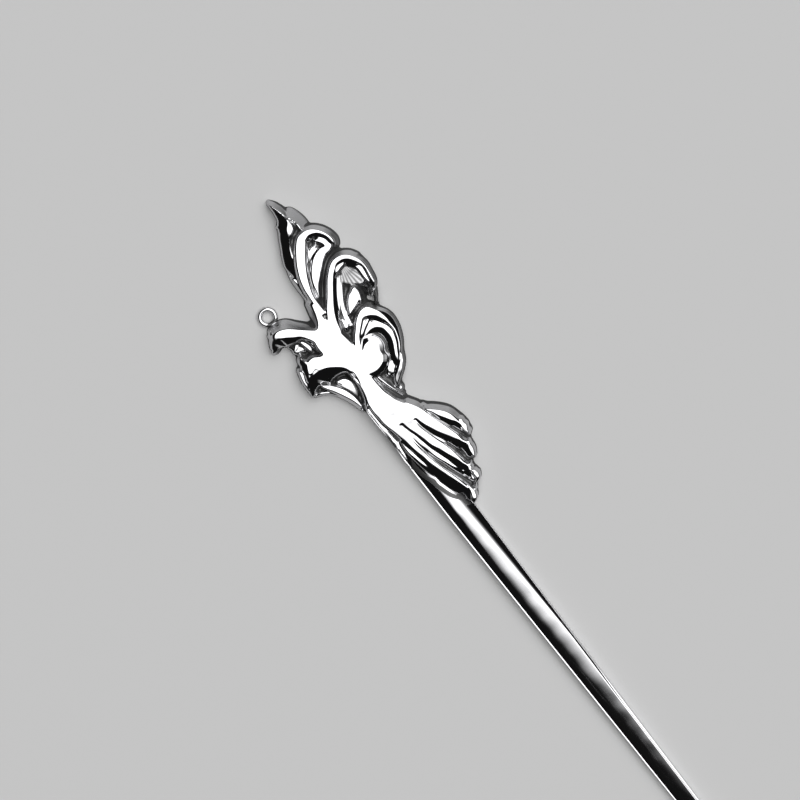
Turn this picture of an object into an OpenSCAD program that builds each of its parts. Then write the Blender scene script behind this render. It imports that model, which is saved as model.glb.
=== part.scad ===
// Cast metal hairpin: one tapering shank with a relief ornament of scrolls, hooks and ribs at its head.
// Millimetres. +X runs along the shank to its point, +Z comes out of the decorated face, and z = 0 is the
// flat back. The origin lies on the shank's centre line where the ornament's tail ends.

/* [Shank] */
// Length of the shank from the ornament's tail to the point
shank_length = 118; // [70:1:150]
// Width of the shank where it leaves the ornament
shank_width = 4.9; // [3.5:0.1:5.5]
// Thickness of the shank where it leaves the ornament
shank_thickness = 2.75; // [2:0.05:3]
// Width of the shank just before its point
tip_width = 2.4; // [2:0.1:4]
// Thickness of the shank just before its point
tip_thickness = 1.5; // [1:0.1:2]
// Length of the rounded point
tip_length = 9; // [4:1:20]
// Height of the bevel on the shank's lower side
lower_bevel = 0.6; // [0.2:0.1:1]
// Height of the bevel on the shank's upper side
upper_bevel = 0.95; // [0.2:0.05:1.2]

/* [Ornament] */
// Height of the tallest scroll above the back
relief_height = 3.5; // [2.5:0.1:5]
// Rise of the outer walls for each millimetre of run
wall_slope = 4.5; // [3:0.5:8]

/* [Eyelets] */
// Radius of each eyelet's hole
hole_radius = 0.95; // [0.6:0.05:1.2]
// Thickness of the eyelets' wire
wire = 0.8; // [0.6:0.05:1]

/* [Hidden] */

// The height that the tables below are drawn for
DRAWN_HEIGHT = 3.5;
// How far the strokes reach below the back before they are cut off there
SINK = 0.5;
// Room around the ornament that the cut at the back takes in
CUT_SIZE = 400;
// The shank's centre line: its place across at x = 0, and how far it drifts for each millimetre along
SHANK_OFFSET = 0.2;
SHANK_DRIFT = -0.0142;
// Distance along the shank over which its bevels draw in to its edges
SETTLED = 30;
// Where the bevels start, as a share of the half width, and how far that moves out over this distance
BEVEL_START = 0.15;
BEVEL_SETTLES = 0.5;
// Rise of the shank's middle above a flat top
CROWN_RISE = 0.05;
// Places across each half of the shank's section, as shares of the half width
CROWN_SHARES = [1, 0.85, 0.7, 0.5, 0.3, 0.1];

// Columns of a stroke: a place, the half width of its flat top, its height, and the runs of the two
// bevels beside the top, left and right as the line is drawn
X = 0;
Y = 1;
TOP = 2;
HIGH = 3;
LEFT_RUN = 4;
RIGHT_RUN = 5;

// Crest at the upper left: a sharp ridge whose long bevel faces the shank, a shoulder above it, and a heel
crest_ridge = [
    [-62, 7.15, 0.05, 2.5, 0.5, 0.1], [-60.2, 7.85, 0.05, 3, 0.9, 0.95], [-58, 8.15, 0.05, 3.15, 0.95, 2],
    [-56.6, 7.6, 0.5, 3.15, 0.3, 1.6], [-55.2, 6.3, 0.15, 3, 0, 1.55], [-52.6, 4.9, 0.05, 2.95, 0, 1.75],
    [-49.4, 3.5, 0.05, 3, 0, 1.2]];
crest_shoulder = [[-58.2, 8.4, 0.05, 2.9], [-57.2, 8.75, 0.05, 2.9], [-55.4, 8.9, 0.05, 2.9]];
crest_heel = [[-49.6, 2.45, 0.1, 2.6], [-47, 2.72, 0.3, 2.6], [-45, 2.3, 0.1, 2.5], [-43.2, 1.8, 0.1, 2.3]];

// First scroll: a sunk floor, a rim around it, and a smooth dome that curls back inside
scroll_1_floor = [
    [-43.6, 3.8, 0.3, 2], [-46, 4.7, 0.9, 1.9], [-48.5, 6.3, 1.6, 1.7], [-50.6, 8.2, 2.2, 1.6],
    [-51, 10.5, 1.5, 1.6]];
scroll_1_rim = [
    [-42, 2.95, 0.5, 3.5, 0, 0], [-45, 3.1, 0.27, 3.48, 0.25, 0.3], [-49, 4.25, 0.6, 3.4, 0.25, 0.45],
    [-51, 5.4, 0.7, 3.4, 0.25, 0.45], [-53.4, 7.3, 0.72, 3.4, 0.25, 0.45], [-54.15, 8.6, 0.6, 3.4, 0.22, 0.2],
    [-54.1, 9.7, 0.45, 3.4, 0.2, 0.4], [-53.35, 10.85, 0.25, 3.4, 0.2, 0.8],
    [-52.1, 11.65, 0.15, 3.4, 0.25, 0.7], [-50, 11.75, 0.05, 3.3, 0.35, 0.1]];
scroll_1_dome = [
    [-44.4, 4.15, 0.05, 3.1], [-46.5, 5.1, 0.45, 3.1], [-48.55, 6.85, 0.85, 3.1], [-49.55, 8.05, 0.85, 3.1],
    [-50.1, 9.35, 0.72, 3.1], [-50.2, 10.4, 0.6, 3.1], [-51.3, 10.65, 0.45, 3.1], [-52.35, 9.6, 0.2, 3.05]];
scroll_1_curl = [[-51.65, 8.9, 0.1, 2.9], [-51.15, 7.8, 0.42, 2.88], [-50.3, 6.6, 0.1, 2.8]];

// Second scroll: as the first, with a bowl at its bend, a band along its floor and a leaf in its middle
scroll_2_floor = [
    [-36.6, 4.4, 0.5, 2.3], [-38.5, 5, 0.8, 2.2], [-41, 6.5, 1.5, 2.1], [-43.5, 8.6, 2.2, 2],
    [-44.4, 10.8, 2, 2], [-41, 12, 1, 2], [-39.8, 11.6, 0.6, 1.8]];
scroll_2_rim = [
    [-39, 2.9, 0.55, 3.5, 0.1, 0], [-41.2, 4, 0.5, 3.5, 0.2, 0.8], [-43.1, 5.45, 0.48, 3.45, 0.2, 1.05],
    [-45, 6.95, 0.45, 3.45, 0.2, 1.05], [-46.6, 8.5, 0.3, 3.45, 0.2, 0.1]];
scroll_2_bend = [
    [-45.9, 7.7, 0.42, 3.45, 0.2, 0.1], [-47.45, 9.7, 0.38, 3.45, 0.2, 0.15],
    [-47.55, 10.6, 0.38, 3.45, 0.2, 0.15], [-46.9, 12.1, 0.33, 3.45, 0.2, 0.9],
    [-45.8, 12.95, 0.27, 3.45, 0.2, 0.8]];
scroll_2_crown = [
    [-46.1, 12.8, 0.3, 3.45, 0.2, 0.8], [-44.5, 13.42, 0.17, 3.45, 0.5, 0.3],
    [-42.8, 13.4, 0.13, 3.35, 0.45, 0.3], [-41.2, 13.15, 0.2, 3.25, 0.2, 0.5],
    [-40.2, 12.75, 0.15, 3.1, 0.1, 0.4], [-39, 11.3, 0.06, 2.9, 0.1, 0.2]];
scroll_2_crescent = [
    [-45.8, 11.3, 0.05, 2.9], [-44.5, 12.25, 0.15, 3], [-42, 12.55, 0.38, 3], [-40.8, 12.5, 0.12, 2.95]];
scroll_2_bowl = [[-45.2, 10.5, 0.8, 2.9], [-44.2, 10.6, 1.4, 2.8], [-42.4, 11.4, 0.6, 2.6]];
scroll_2_band = [
    [-44.9, 9, 0.3, 2.85], [-43, 7.65, 0.36, 2.85], [-41, 6.4, 0.34, 2.85], [-39, 5.6, 0.42, 2.85],
    [-37.4, 5.3, 0.35, 2.8]];
scroll_2_leaf = [
    [-38.9, 6.45, 0.1, 3.3], [-39.85, 7.6, 0.68, 3.3], [-40.45, 8.35, 0.88, 3.3], [-41.6, 9.5, 0.5, 3.3]];
scroll_2_leaf_tip = [[-42, 9.9, 0.05, 3.3], [-40.8, 9.85, 0.1, 3.3], [-39.6, 9.35, 0.1, 3.3]];

// Third scroll: it curls over towards the point and ends in a lip above the waist
scroll_3_rim = [
    [-33.2, 3.6, 0.45, 3.5, 0.1, 0.2], [-35.2, 5.05, 0.4, 3.5, 0.2, 0.12], [-36.9, 6.8, 0.48, 3.5, 0.2, 0.12],
    [-37.55, 8, 0.62, 3.5, 0.2, 0.2], [-37.45, 9.1, 0.75, 3.5, 0.2, 0.7], [-36.9, 9.7, 0.55, 3.5, 0.2, 0.8]];
scroll_3_crown = [
    [-37.2, 9.4, 0.6, 3.5, 0.1, 0.8], [-35.8, 10.35, 0.34, 3.5, 0.7, 0.75],
    [-34.4, 10.75, 0.15, 3.5, 1.05, 0.6], [-32.6, 10.9, 0.05, 3.45, 0.9, 0.3],
    [-31, 10.5, 0.05, 3.4, 0.7, 0.2], [-29, 9.4, 0.05, 3.3, 0.5, 0.2],
    [-27.5, 8.2, 0.05, 3.15, 0.4, 0.2], [-26.4, 6.7, 0.05, 3, 0.35, 0.2]];
scroll_3_floor = [
    [-34.2, 5.4, 0.5, 2.2], [-35.2, 7.4, 1.4, 2.2], [-34.3, 9, 1.8, 2.2], [-32, 9, 1.8, 2.2],
    [-29.5, 8, 1.7, 2], [-26.2, 5.3, 1, 1.8]];
scroll_3_band = [
    [-34.1, 5.6, 0.08, 3.05, 0.3, 1.2], [-35.05, 7.5, 0.46, 3.1, 0.3, 1.2], [-35, 8.4, 0.55, 3.1, 0.3, 1.2],
    [-33.9, 9.5, 0.35, 3.1, 0.3, 1.2], [-31.4, 9.95, 0.45, 3.1, 0.3, 1.2], [-29.4, 9, 0.34, 3.1, 0.3, 1.2],
    [-27.5, 7.9, 0.1, 3.05, 0.3, 0.8]];
scroll_3_lip = [
    [-28.1, 9.2, 0.05, 3.2], [-26.4, 7.7, 0.33, 3.15], [-25.4, 6.3, 0.4, 3.05], [-24.35, 5.35, 0.12, 2.95]];
scroll_3_bed = [[-28.1, 7.1, 0.2, 2.7], [-27.2, 6.35, 0.52, 2.7], [-26.6, 5.4, 0.35, 2.65]];
scroll_3_end = [[-28, 4.4, 0.4, 2.3], [-26.6, 4.5, 0.6, 2.2], [-25.2, 4.75, 0.4, 2], [-23.6, 5, 0.25, 1.7]];
scroll_3_fold = [[-27.9, 3.4, 0.05, 3], [-25, 4.05, 0.06, 2.85], [-22.4, 4.9, 0.05, 2.2]];

// Two hooks on the lower side, each with a deep hollow behind it
hook_1_floor = [[-38.1, -3, 0.5, 1.6], [-39, -3.9, 1, 1.5], [-40, -4.6, 0.9, 1.5], [-40.7, -5.4, 0.3, 1.4]];
hook_1_lip = [
    [-37.4, -1.65, 0.15, 3.2], [-38.8, -1.75, 0.2, 3.2], [-40.1, -2.1, 0.2, 3.2], [-41, -2.75, 0.1, 3.15]];
hook_1_sill = [[-38.2, -2.75, 0.2, 2.6], [-39.3, -2.9, 0.27, 2.6], [-40.8, -3.5, 0.05, 2.6]];
hook_1_foot = [[-43.5, -7.3, 0.1, 1.9], [-42.9, -7.5, 0.17, 1.9], [-42.4, -7.75, 0.1, 1.9]];
hook_1_wall = [
    [-41.2, -0.9, 0.05, 3.4, 0, 0.4], [-42.6, -2.4, 0.05, 3.35, 0, 0.7], [-43.7, -3.8, 0.05, 3.3, 0, 1.2],
    [-44.15, -5, 0.05, 3.2, 0, 1.3], [-44.1, -5.9, 0.05, 3, 0, 1.2], [-43.5, -6.7, 0.05, 2.6, 0, 0.8]];
hook_1_back = [
    [-38.8, 0, 1.3, 3.5, 0, 0.1], [-40.1, -0.9, 0.85, 3.5, 0.1, 0.12], [-41.3, -2, 0.6, 3.5, 0.4, 0.15],
    [-42.3, -3.2, 0.7, 3.48, 1.1, 0.15], [-43.05, -4.2, 0.72, 3.45, 1.5, 0.15],
    [-43.55, -5.3, 0.62, 3.42, 1.9, 0.25], [-43.2, -6.45, 0.2, 3.3, 2.1, 0.6],
    [-42.95, -7.05, 0.05, 3.1, 1.9, 0.5], [-42.4, -7.7, 0.05, 2.7, 1, 0.15]];
hook_2_floor = [[-26.2, -1.95, 0.2, 2], [-27.6, -1.5, 0.6, 2], [-29.5, -1.7, 0.8, 2], [-31, -2.8, 0.3, 2]];
hook_2_rise = [
    [-25.1, -2, 0.12, 2.2], [-27, -2.3, 0.38, 2.2], [-28.8, -2.95, 0.5, 2.2], [-30.2, -3.75, 0.45, 2.2],
    [-32, -5.15, 0.08, 2.15]];
hook_2_edge = [
    [-24.4, -2.2, 0.05, 1.9], [-26.5, -2.8, 0.05, 1.9], [-28.6, -3.7, 0.05, 1.9], [-30.2, -4.8, 0.05, 1.9],
    [-31.3, -7, 0.05, 1.8]];
hook_2_foot = [[-36.3, -6.5, 0.08, 2.75], [-35, -6.75, 0.24, 2.75], [-32.9, -7.25, 0.12, 2.7]];
hook_2_toe = [
    [-37.2, -4.6, 0.15, 3.5, 0, 1], [-36.4, -4.6, 0.2, 3.5, 0, 1.25], [-35.6, -4.95, 0.3, 3.48, 0, 1],
    [-34.3, -6, 0.05, 3.4, 0, 0.5]];
hook_2_top = [
    [-35, 0.2, 1.6, 3.5], [-35.1, -1.2, 1.3, 3.5], [-35.3, -2.2, 1.05, 3.5], [-36, -3.75, 1.05, 3.5],
    [-35.8, -4.4, 0.8, 3.5]];
hook_2_back = [
    [-31.6, 1.2, 0.9, 3.5, 0.2, 0], [-32.8, 0.4, 0.7, 3.5, 0.9, 0], [-34, -0.8, 0.75, 3.5, 1.9, 0],
    [-34.8, -2.2, 0.7, 3.5, 2.7, 0], [-35.1, -3.8, 0.6, 3.48, 3.2, 0], [-34.85, -5.2, 0.4, 3.42, 3.2, 0],
    [-34.25, -6.2, 0.1, 3.2, 2.8, 0], [-33.4, -6.9, 0.05, 2.9, 1.9, 0], [-32.3, -7.5, 0.05, 2.5, 0.8, 0]];

// Body: the broad plain band that joins the scrolls and hooks and narrows to the waist
body_band = [
    [-44, 2.5, 0.2, 3.5, 0, 0.5], [-42.6, 2.25, 0.35, 3.5, 0, 0.5], [-41.2, 2, 0.65, 3.5, 0, 0.3],
    [-40, 1.7, 1.25, 3.5, 0, 0.1], [-38.7, 1, 2.2, 3.5, 0, 0.1], [-36.5, 1, 2.4, 3.5, 0, 0.1],
    [-34, 1.5, 2.2, 3.5, 0, 0], [-31.5, 2, 1.5, 3.5, 0, 0], [-29, 1.6, 1.05, 3.5, 0.3, 0.06],
    [-26, 1.2, 1.4, 3.5, 0.4, 0.08], [-24, 1.05, 1.85, 3.5, 0.4, 0.1], [-20.9, 1.5, 2.3, 3.5, 0.1, 0.1]];
body_fork = [[-22, 2.5, 1.2, 3.5], [-20.5, 3.1, 1.4, 3.5], [-18.6, 4.1, 0.8, 3.5]];
body_dome = [
    [-32, 5.6, 1.3, 3.5, 1.1, 1.1], [-31.2, 4.9, 1.9, 3.5, 1.1, 1.1], [-30.2, 4.2, 1.75, 3.5, 1, 1],
    [-30.4, 2.8, 1.6, 3.5, 0.3, 0.3]];
body_hem = [
    [-25.2, -1.2, 0.05, 3.2, 0.2, 0], [-23.8, -1.55, 0.08, 3.2, 0.5, 0], [-19.5, -1.58, 0.08, 3.05, 0.55, 0],
    [-15.4, -1.6, 0.08, 2.8, 0.9, 0], [-12.4, -1.9, 0.05, 2.4, 0.6, 0]];

// Tail: five low ribs side by side, each with a sharp ridge and a cap at its end, and a sixth ridge below
rib_beds = [
    [[-18.5, 6.2, 0.4, 2.4], [-14.3, 8.4, 0.8, 2], [-11, 9.3, 0.7, 2]],
    [[-17, 5.2, 0.9, 2.2], [-14, 6.2, 1, 2], [-8.6, 7.8, 0.9, 2], [-7, 7.8, 0.6, 2]],
    [[-17, 3.3, 0.9, 2.2], [-14, 3.9, 1, 2], [-8, 5.6, 1, 2], [-5.6, 6, 0.7, 2]],
    [[-16, 2, 0.9, 2.2], [-12, 2.7, 1, 2], [-5, 5.2, 1, 2], [-3.8, 5.5, 0.7, 2]],
    [[-16, 0.6, 0.9, 2.4], [-12, 0.9, 1, 2.3], [-8, 1.6, 0.9, 2.2], [-1.6, 3.1, 0.6, 2]]];
rib_1 = [
    [-18.05, 6.5, 0.05, 3.4, 0.05, 0.1], [-17, 7.3, 0.28, 3.4, 0.1, 0.2], [-15, 8.6, 0.45, 3.4, 0.3, 0.9],
    [-12.9, 9.5, 0.05, 3.35, 0.5, 1.2], [-10.4, 9.8, 0.05, 2.7, 0.3, 0.6]];
rib_2 = [
    [-20.5, 4.1, 0.8, 3.5, 0, 0], [-18.5, 4.95, 0.95, 3.5, 0.1, 0.1], [-15.5, 5.85, 0.85, 3.45, 0.15, 0.3],
    [-12.5, 7, 0.55, 3.45, 0.3, 0.9], [-9.8, 8.05, 0.05, 3.4, 0.5, 1.7], [-7.2, 7.9, 0.05, 3.15, 0, 0.9]];
rib_3 = [
    [-20.5, 2.8, 0.7, 3.5, 0, 0], [-18.5, 3, 0.72, 3.5, 0.1, 0.1], [-15.5, 3.4, 0.65, 3.45, 0.15, 0.2],
    [-12.5, 4.1, 0.58, 3.45, 0.2, 0.5], [-9.5, 5.1, 0.4, 3.45, 0.35, 1.1], [-6.7, 5.8, 0.05, 3.4, 0.5, 1.8],
    [-4.6, 5.7, 0.05, 3.15, 0, 1]];
rib_4 = [
    [-16, 2.05, 0.2, 3.2, 0.1, 0.2], [-12, 2.6, 0.28, 3.2, 0.2, 0.3], [-8.6, 3.6, 0.12, 3.2, 0.4, 0.4],
    [-6, 4.6, 0.05, 2.9, 0.6, 0.9], [-3.2, 5.4, 0.05, 2.7, 0.1, 0.6]];
rib_5 = [
    [-22, 0.2, 0.9, 3.5, 0, 0], [-18, 0.5, 0.72, 3.5, 0.1, 0.1], [-14, 0.95, 0.37, 3.45, 0.2, 0.5],
    [-10, 1.62, 0.25, 3.45, 0.3, 0.8], [-8, 2.12, 0.25, 3.45, 0.3, 1.1], [-6, 2.72, 0.2, 3.45, 0.3, 1.6],
    [-3.4, 3.5, 0.05, 3.3, 0.5, 1.9], [-1, 3.2, 0.05, 2.9, 0.1, 0.8]];
rib_6 = [
    [-16, -0.3, 0.25, 3.2, 0.1, 0.1], [-12, -0.05, 0.12, 3.2, 0.2, 0.5], [-10, 0.42, 0.12, 3.2, 0.2, 0.7],
    [-7.2, 1.1, 0.05, 3, 0.3, 0.9]];
rib_caps = [
    [[-12.6, 9.75, 0.1, 3.2, 0.6, 0], [-11.7, 9.5, 0.1, 3.2, 1, 0], [-10.2, 9.7, 0.05, 3.1, 0.2, 0]],
    [[-9, 8.7, 0.1, 3.2, 0.3, 0], [-7.8, 8.15, 0.1, 3.2, 0.65, 0], [-6.5, 7.8, 0.08, 3.15, 0.45, 0]],
    [[-5.9, 6.65, 0.1, 3.2, 0.2, 0], [-5.2, 6, 0.1, 3.2, 0.75, 0], [-4.5, 5.95, 0.05, 3.15, 0.2, 0]],
    [[-4.1, 6.2, 0.1, 3.15, 0.5, 0], [-3.6, 5.7, 0.1, 3.15, 0.9, 0], [-1.8, 4.6, 0.05, 3, 0.15, 0]],
    [[-2.8, 3.9, 0.1, 3.2, 0.2, 0], [-1.5, 3.5, 0.1, 3.2, 0.8, 0], [-0.3, 2.6, 0.05, 3.1, 0.35, 0]]];

// Direction of a line at row i, from the rows beside it
function heading(rows, i) =
    let (a = rows[max(i - 1, 0)], b = rows[min(i + 1, len(rows) - 1)]) atan2(b[Y] - a[Y], b[X] - a[X]);

// Run of the bevel on one side of a row, or the stroke's own where the row gives none
function bevel(row, column, own) = len(row) > column ? row[column] : own;

// Points down one side of a row's section, in the direction that lies `turn` degrees to the left of
// the line: the top's edge, the bevel's foot, and the wall's foot below the back
function side(row, heading, turn, slopes, bevels, wall) =
    let (
        left = (1 + sin(turn)) / 2,
        run = left * bevel(row, LEFT_RUN, bevels[0]) + (1 - left) * bevel(row, RIGHT_RUN, bevels[1]),
        slope = left * slopes[0] + (1 - left) * slopes[1],
        high = row[HIGH] * relief_height / DRAWN_HEIGHT,
        shoulder = high - run * slope,
        reach = [row[TOP], row[TOP] + run, row[TOP] + run + (shoulder + SINK) / wall],
        level = [high, shoulder, -SINK])
    [for (k = [0 : 2])
        [row[X] + reach[k] * cos(heading + turn), row[Y] + reach[k] * sin(heading + turn), level[k]]];

// Solid under a list of points
module wrap(points) {
    hull() polyhedron(points = points, faces = [[for (i = [0 : len(points) - 1]) i]]);
}

// Metal raised along a line: a flat top, a bevel on each side that falls by `slopes`, and steep walls that
// fall by `wall`. Both ends are rounded.
module stroke(rows, slopes, bevels = [0, 0], wall = wall_slope) {
    last = len(rows) - 2;
    for (i = [0 : last]) {
        turns_a = i == 0 ? [90, 135, 180, 225, 270] : [90, 270];
        turns_b = i == last ? [-90, -45, 0, 45, 90] : [90, 270];
        wrap([
            for (turn = turns_a) each side(rows[i], heading(rows, i), turn, slopes, bevels, wall),
            for (turn = turns_b) each side(rows[i + 1], heading(rows, i + 1), turn, slopes, bevels, wall)]);
    }
}

module crest() {
    color("silver") {
        stroke(crest_ridge, [3.2, 0.42], wall = 6);
        stroke(crest_shoulder, [1.5, 2.5], [1.6, 0.5], 6);
        stroke(crest_heel, [0.5, 0.5], [0.1, 0.1]);
    }
}

module scroll_1() {
    color("silver") {
        stroke(scroll_1_floor, [2, 2]);
        stroke(scroll_1_rim, [0.75, 0.66]);
        stroke(scroll_1_dome, [1.15, 0.6], [0.3, 0.15]);
        stroke(scroll_1_curl, [0.6, 0.6], [0.3, 0.15]);
    }
}

module scroll_2() {
    color("silver") {
        stroke(scroll_2_floor, [2, 2]);
        stroke(scroll_2_rim, [0.75, 0.74]);
        stroke(scroll_2_bend, [0.75, 0.5]);
        stroke(scroll_2_crown, [0.68, 0.5], wall = 12);
        stroke(scroll_2_crescent, [0.55, 0.6], [0.3, 0.12]);
        stroke(scroll_2_bowl, [0.4, 0.4], [0.5, 0.5]);
        stroke(scroll_2_band, [0.6, 0.6], [0.1, 0.1]);
        stroke(scroll_2_leaf, [0.6, 0.8], [0.12, 0.12]);
        stroke(scroll_2_leaf_tip, [0.75, 0.72], [0.1, 0.75]);
    }
}

module scroll_3() {
    color("silver") {
        stroke(scroll_3_floor, [1.4, 1.4]);
        stroke(scroll_3_rim, [0.75, 0.5]);
        stroke(scroll_3_crown, [0.7, 0.5], wall = 12);
        stroke(scroll_3_band, [0.75, 0.5]);
        stroke(scroll_3_lip, [0.6, 0.5], [0.1, 0.3], 8);
        stroke(scroll_3_bed, [0.5, 0.5], [0.15, 0.3]);
        stroke(scroll_3_end, [0.3, 0.3], [0.5, 0.5]);
        stroke(scroll_3_fold, [0.35, 0.5], [0.15, 0.4]);
    }
}

module hook_1() {
    color("silver") {
        stroke(hook_1_floor, [1.5, 1.5]);
        stroke(hook_1_lip, [0.6, 0.6], [0.1, 0.1]);
        stroke(hook_1_sill, [0.5, 0.5], [0.1, 0.2]);
        stroke(hook_1_foot, [1, 1]);
        stroke(hook_1_wall, [1, 1.7]);
        stroke(hook_1_back, [0.5, 0.75]);
    }
}

module hook_2() {
    color("silver") {
        stroke(hook_2_floor, [0.5, 0.5], [0.15, 0.15]);
        stroke(hook_2_rise, [0.6, 0.6], [0.1, 0.1]);
        stroke(hook_2_edge, [0.6, 0.6], [0.25, 0.15]);
        stroke(hook_2_foot, [0.5, 0.5], [0, 0.1]);
        stroke(hook_2_toe, [0.5, 0.5]);
        stroke(hook_2_top, [0.7, 0.7], [0, 0.2]);
        stroke(hook_2_back, [0.46, 1]);
    }
}

module body() {
    color("silver") {
        stroke(body_band, [0.8, 0.8], wall = 3);
        stroke(body_fork, [1, 1]);
        stroke(body_dome, [0.5, 0.5]);
        stroke(body_hem, [0.28, 1], wall = 8);
    }
}

module tail() {
    color("silver") {
        for (bed = rib_beds)
            stroke(bed, [1, 1]);
        stroke(rib_1, [0.78, 0.45], wall = 4);
        stroke(rib_2, [0.75, 0.42]);
        stroke(rib_3, [0.75, 0.42]);
        stroke(rib_4, [0.6, 0.45]);
        stroke(rib_5, [0.75, 0.45]);
        stroke(rib_6, [0.6, 0.4]);
        for (cap = rib_caps)
            stroke(cap, [0.4, 1], wall = 8);
    }
}

// How high the shank's top lies at a share of its half width from the middle. It is nearly flat up to
// where the bevel starts, which `settle` moves outwards: from 0 at the ornament to 1 where the section has
// its final form.
function crown(share, thickness, bevel, settle) =
    let (start = BEVEL_START + BEVEL_SETTLES * settle, beyond = max(share - start, 0) / (1 - start))
    thickness - CROWN_RISE * share * share - bevel * (beyond + beyond * beyond) / 2;

// Section across the shank at x: upright edges, and a crowned top with a bevel of its own on each side
function shank_section(x, width, thickness) =
    let (
        middle = SHANK_OFFSET + SHANK_DRIFT * x,
        settle = min(max(x / SETTLED, 0), 1),
        edge = (1 + thickness / shank_thickness) / 2)
    [[x, middle + width / 2, -SINK],
        for (share = CROWN_SHARES)
            [x, middle + share * width / 2, crown(share, thickness, upper_bevel * edge, settle)],
        for (share = CROWN_SHARES)
            [x, middle - share * width / 2, crown(share, thickness, lower_bevel * edge, settle)],
        [x, middle - width / 2, -SINK]];

// How far the point has closed, a share of its length from 0 at its start to 1 at its end
function tip_share(s) = sqrt(1 - s * s);

// Shank: tapers evenly, and closes to a rounded point. It starts inside the ornament's waist.
module shank() {
    root = -24;
    shoulder = shank_length - tip_length;
    stations = [
        [root, shank_width, shank_thickness],
        for (x = [0, SETTLED / 2, SETTLED, shoulder])
            [x, shank_width + (tip_width - shank_width) * x / shoulder,
                shank_thickness + (tip_thickness - shank_thickness) * x / shoulder],
        for (s = [0.35, 0.6, 0.8, 0.93, 0.99])
            [shoulder + s * tip_length, tip_width * tip_share(s),
                tip_thickness * (0.5 + 0.5 * tip_share(s))]];
    color("silver")
        for (i = [0 : len(stations) - 2])
            wrap([for (s = [stations[i], stations[i + 1]]) each shank_section(s[0], s[1], s[2])]);
}

// Ring of wire around an upright hole
module eyelet() {
    color("silver")
        rotate_extrude($fn = 32)
            translate([hole_radius + wire / 2, 0]) circle(d = wire, $fn = 12);
}

// The left eyelet lies flat against the first hook, near the back
module eyelet_left() {
    translate([-47, -5.2, wire / 2 + 0.1]) eyelet();
}

// The right eyelet stands on edge in the gap between the second and the third scroll
module eyelet_right() {
    translate([-38.6, 11.9, hole_radius + wire]) rotate([90, 0, -31]) eyelet();
}

// The whole casting, cut flat at its back
module hairpin() {
    difference() {
        union() {
            crest();
            scroll_1();
            scroll_2();
            scroll_3();
            hook_1();
            hook_2();
            body();
            tail();
            shank();
            eyelet_left();
            eyelet_right();
        }
        color("silver")
            translate([0, 0, -CUT_SIZE / 2]) cube(CUT_SIZE, center = true);
    }
}

hairpin();
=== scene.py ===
"""Looks of a cast metal hairpin: one polished casting that lies on a pale floor in soft studio light.

Lengths are in millimetres wherever a value is drawn, in the frame of the part's source: +X runs along
the shank to its point, +Z comes out of the decorated face, and the flat back is at z = 0. Meshes are made in
metres. The relief is drawn as strokes of raised metal, and its surface is the highest of them at each place,
softened a little as polishing does.
"""

import logging
from collections.abc import Iterator
from dataclasses import dataclass, field, fields
from math import cos, radians, sin
from typing import Any, Optional, Union

import bpy
import numpy as np
from mathutils import Matrix, Vector

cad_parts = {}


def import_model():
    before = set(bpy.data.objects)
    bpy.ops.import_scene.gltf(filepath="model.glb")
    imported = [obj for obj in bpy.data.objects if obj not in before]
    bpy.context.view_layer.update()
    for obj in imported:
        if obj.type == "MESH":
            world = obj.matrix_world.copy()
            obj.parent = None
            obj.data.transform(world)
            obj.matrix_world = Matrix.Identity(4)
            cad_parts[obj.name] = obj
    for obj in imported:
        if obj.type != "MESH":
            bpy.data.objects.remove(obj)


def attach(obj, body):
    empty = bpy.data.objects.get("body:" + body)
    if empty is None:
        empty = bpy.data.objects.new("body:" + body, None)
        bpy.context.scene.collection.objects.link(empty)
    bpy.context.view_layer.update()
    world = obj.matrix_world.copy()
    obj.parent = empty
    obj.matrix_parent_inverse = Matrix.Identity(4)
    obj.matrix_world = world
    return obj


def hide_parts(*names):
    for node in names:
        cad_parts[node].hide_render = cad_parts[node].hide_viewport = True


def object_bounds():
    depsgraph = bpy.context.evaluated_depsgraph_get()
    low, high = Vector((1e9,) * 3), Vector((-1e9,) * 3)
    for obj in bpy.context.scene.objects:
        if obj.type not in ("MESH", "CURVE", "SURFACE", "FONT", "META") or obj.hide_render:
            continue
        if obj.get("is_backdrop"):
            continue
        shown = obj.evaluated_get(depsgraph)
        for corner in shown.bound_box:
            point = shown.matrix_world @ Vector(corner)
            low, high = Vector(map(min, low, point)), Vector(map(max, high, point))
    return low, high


LOG = logging.getLogger("hairpin")
MM = 0.001
NODE = "hairpin"
BODY = "root"

Rows = tuple[tuple[float, ...], ...]
Array = np.ndarray


# Drawn shapes

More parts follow.
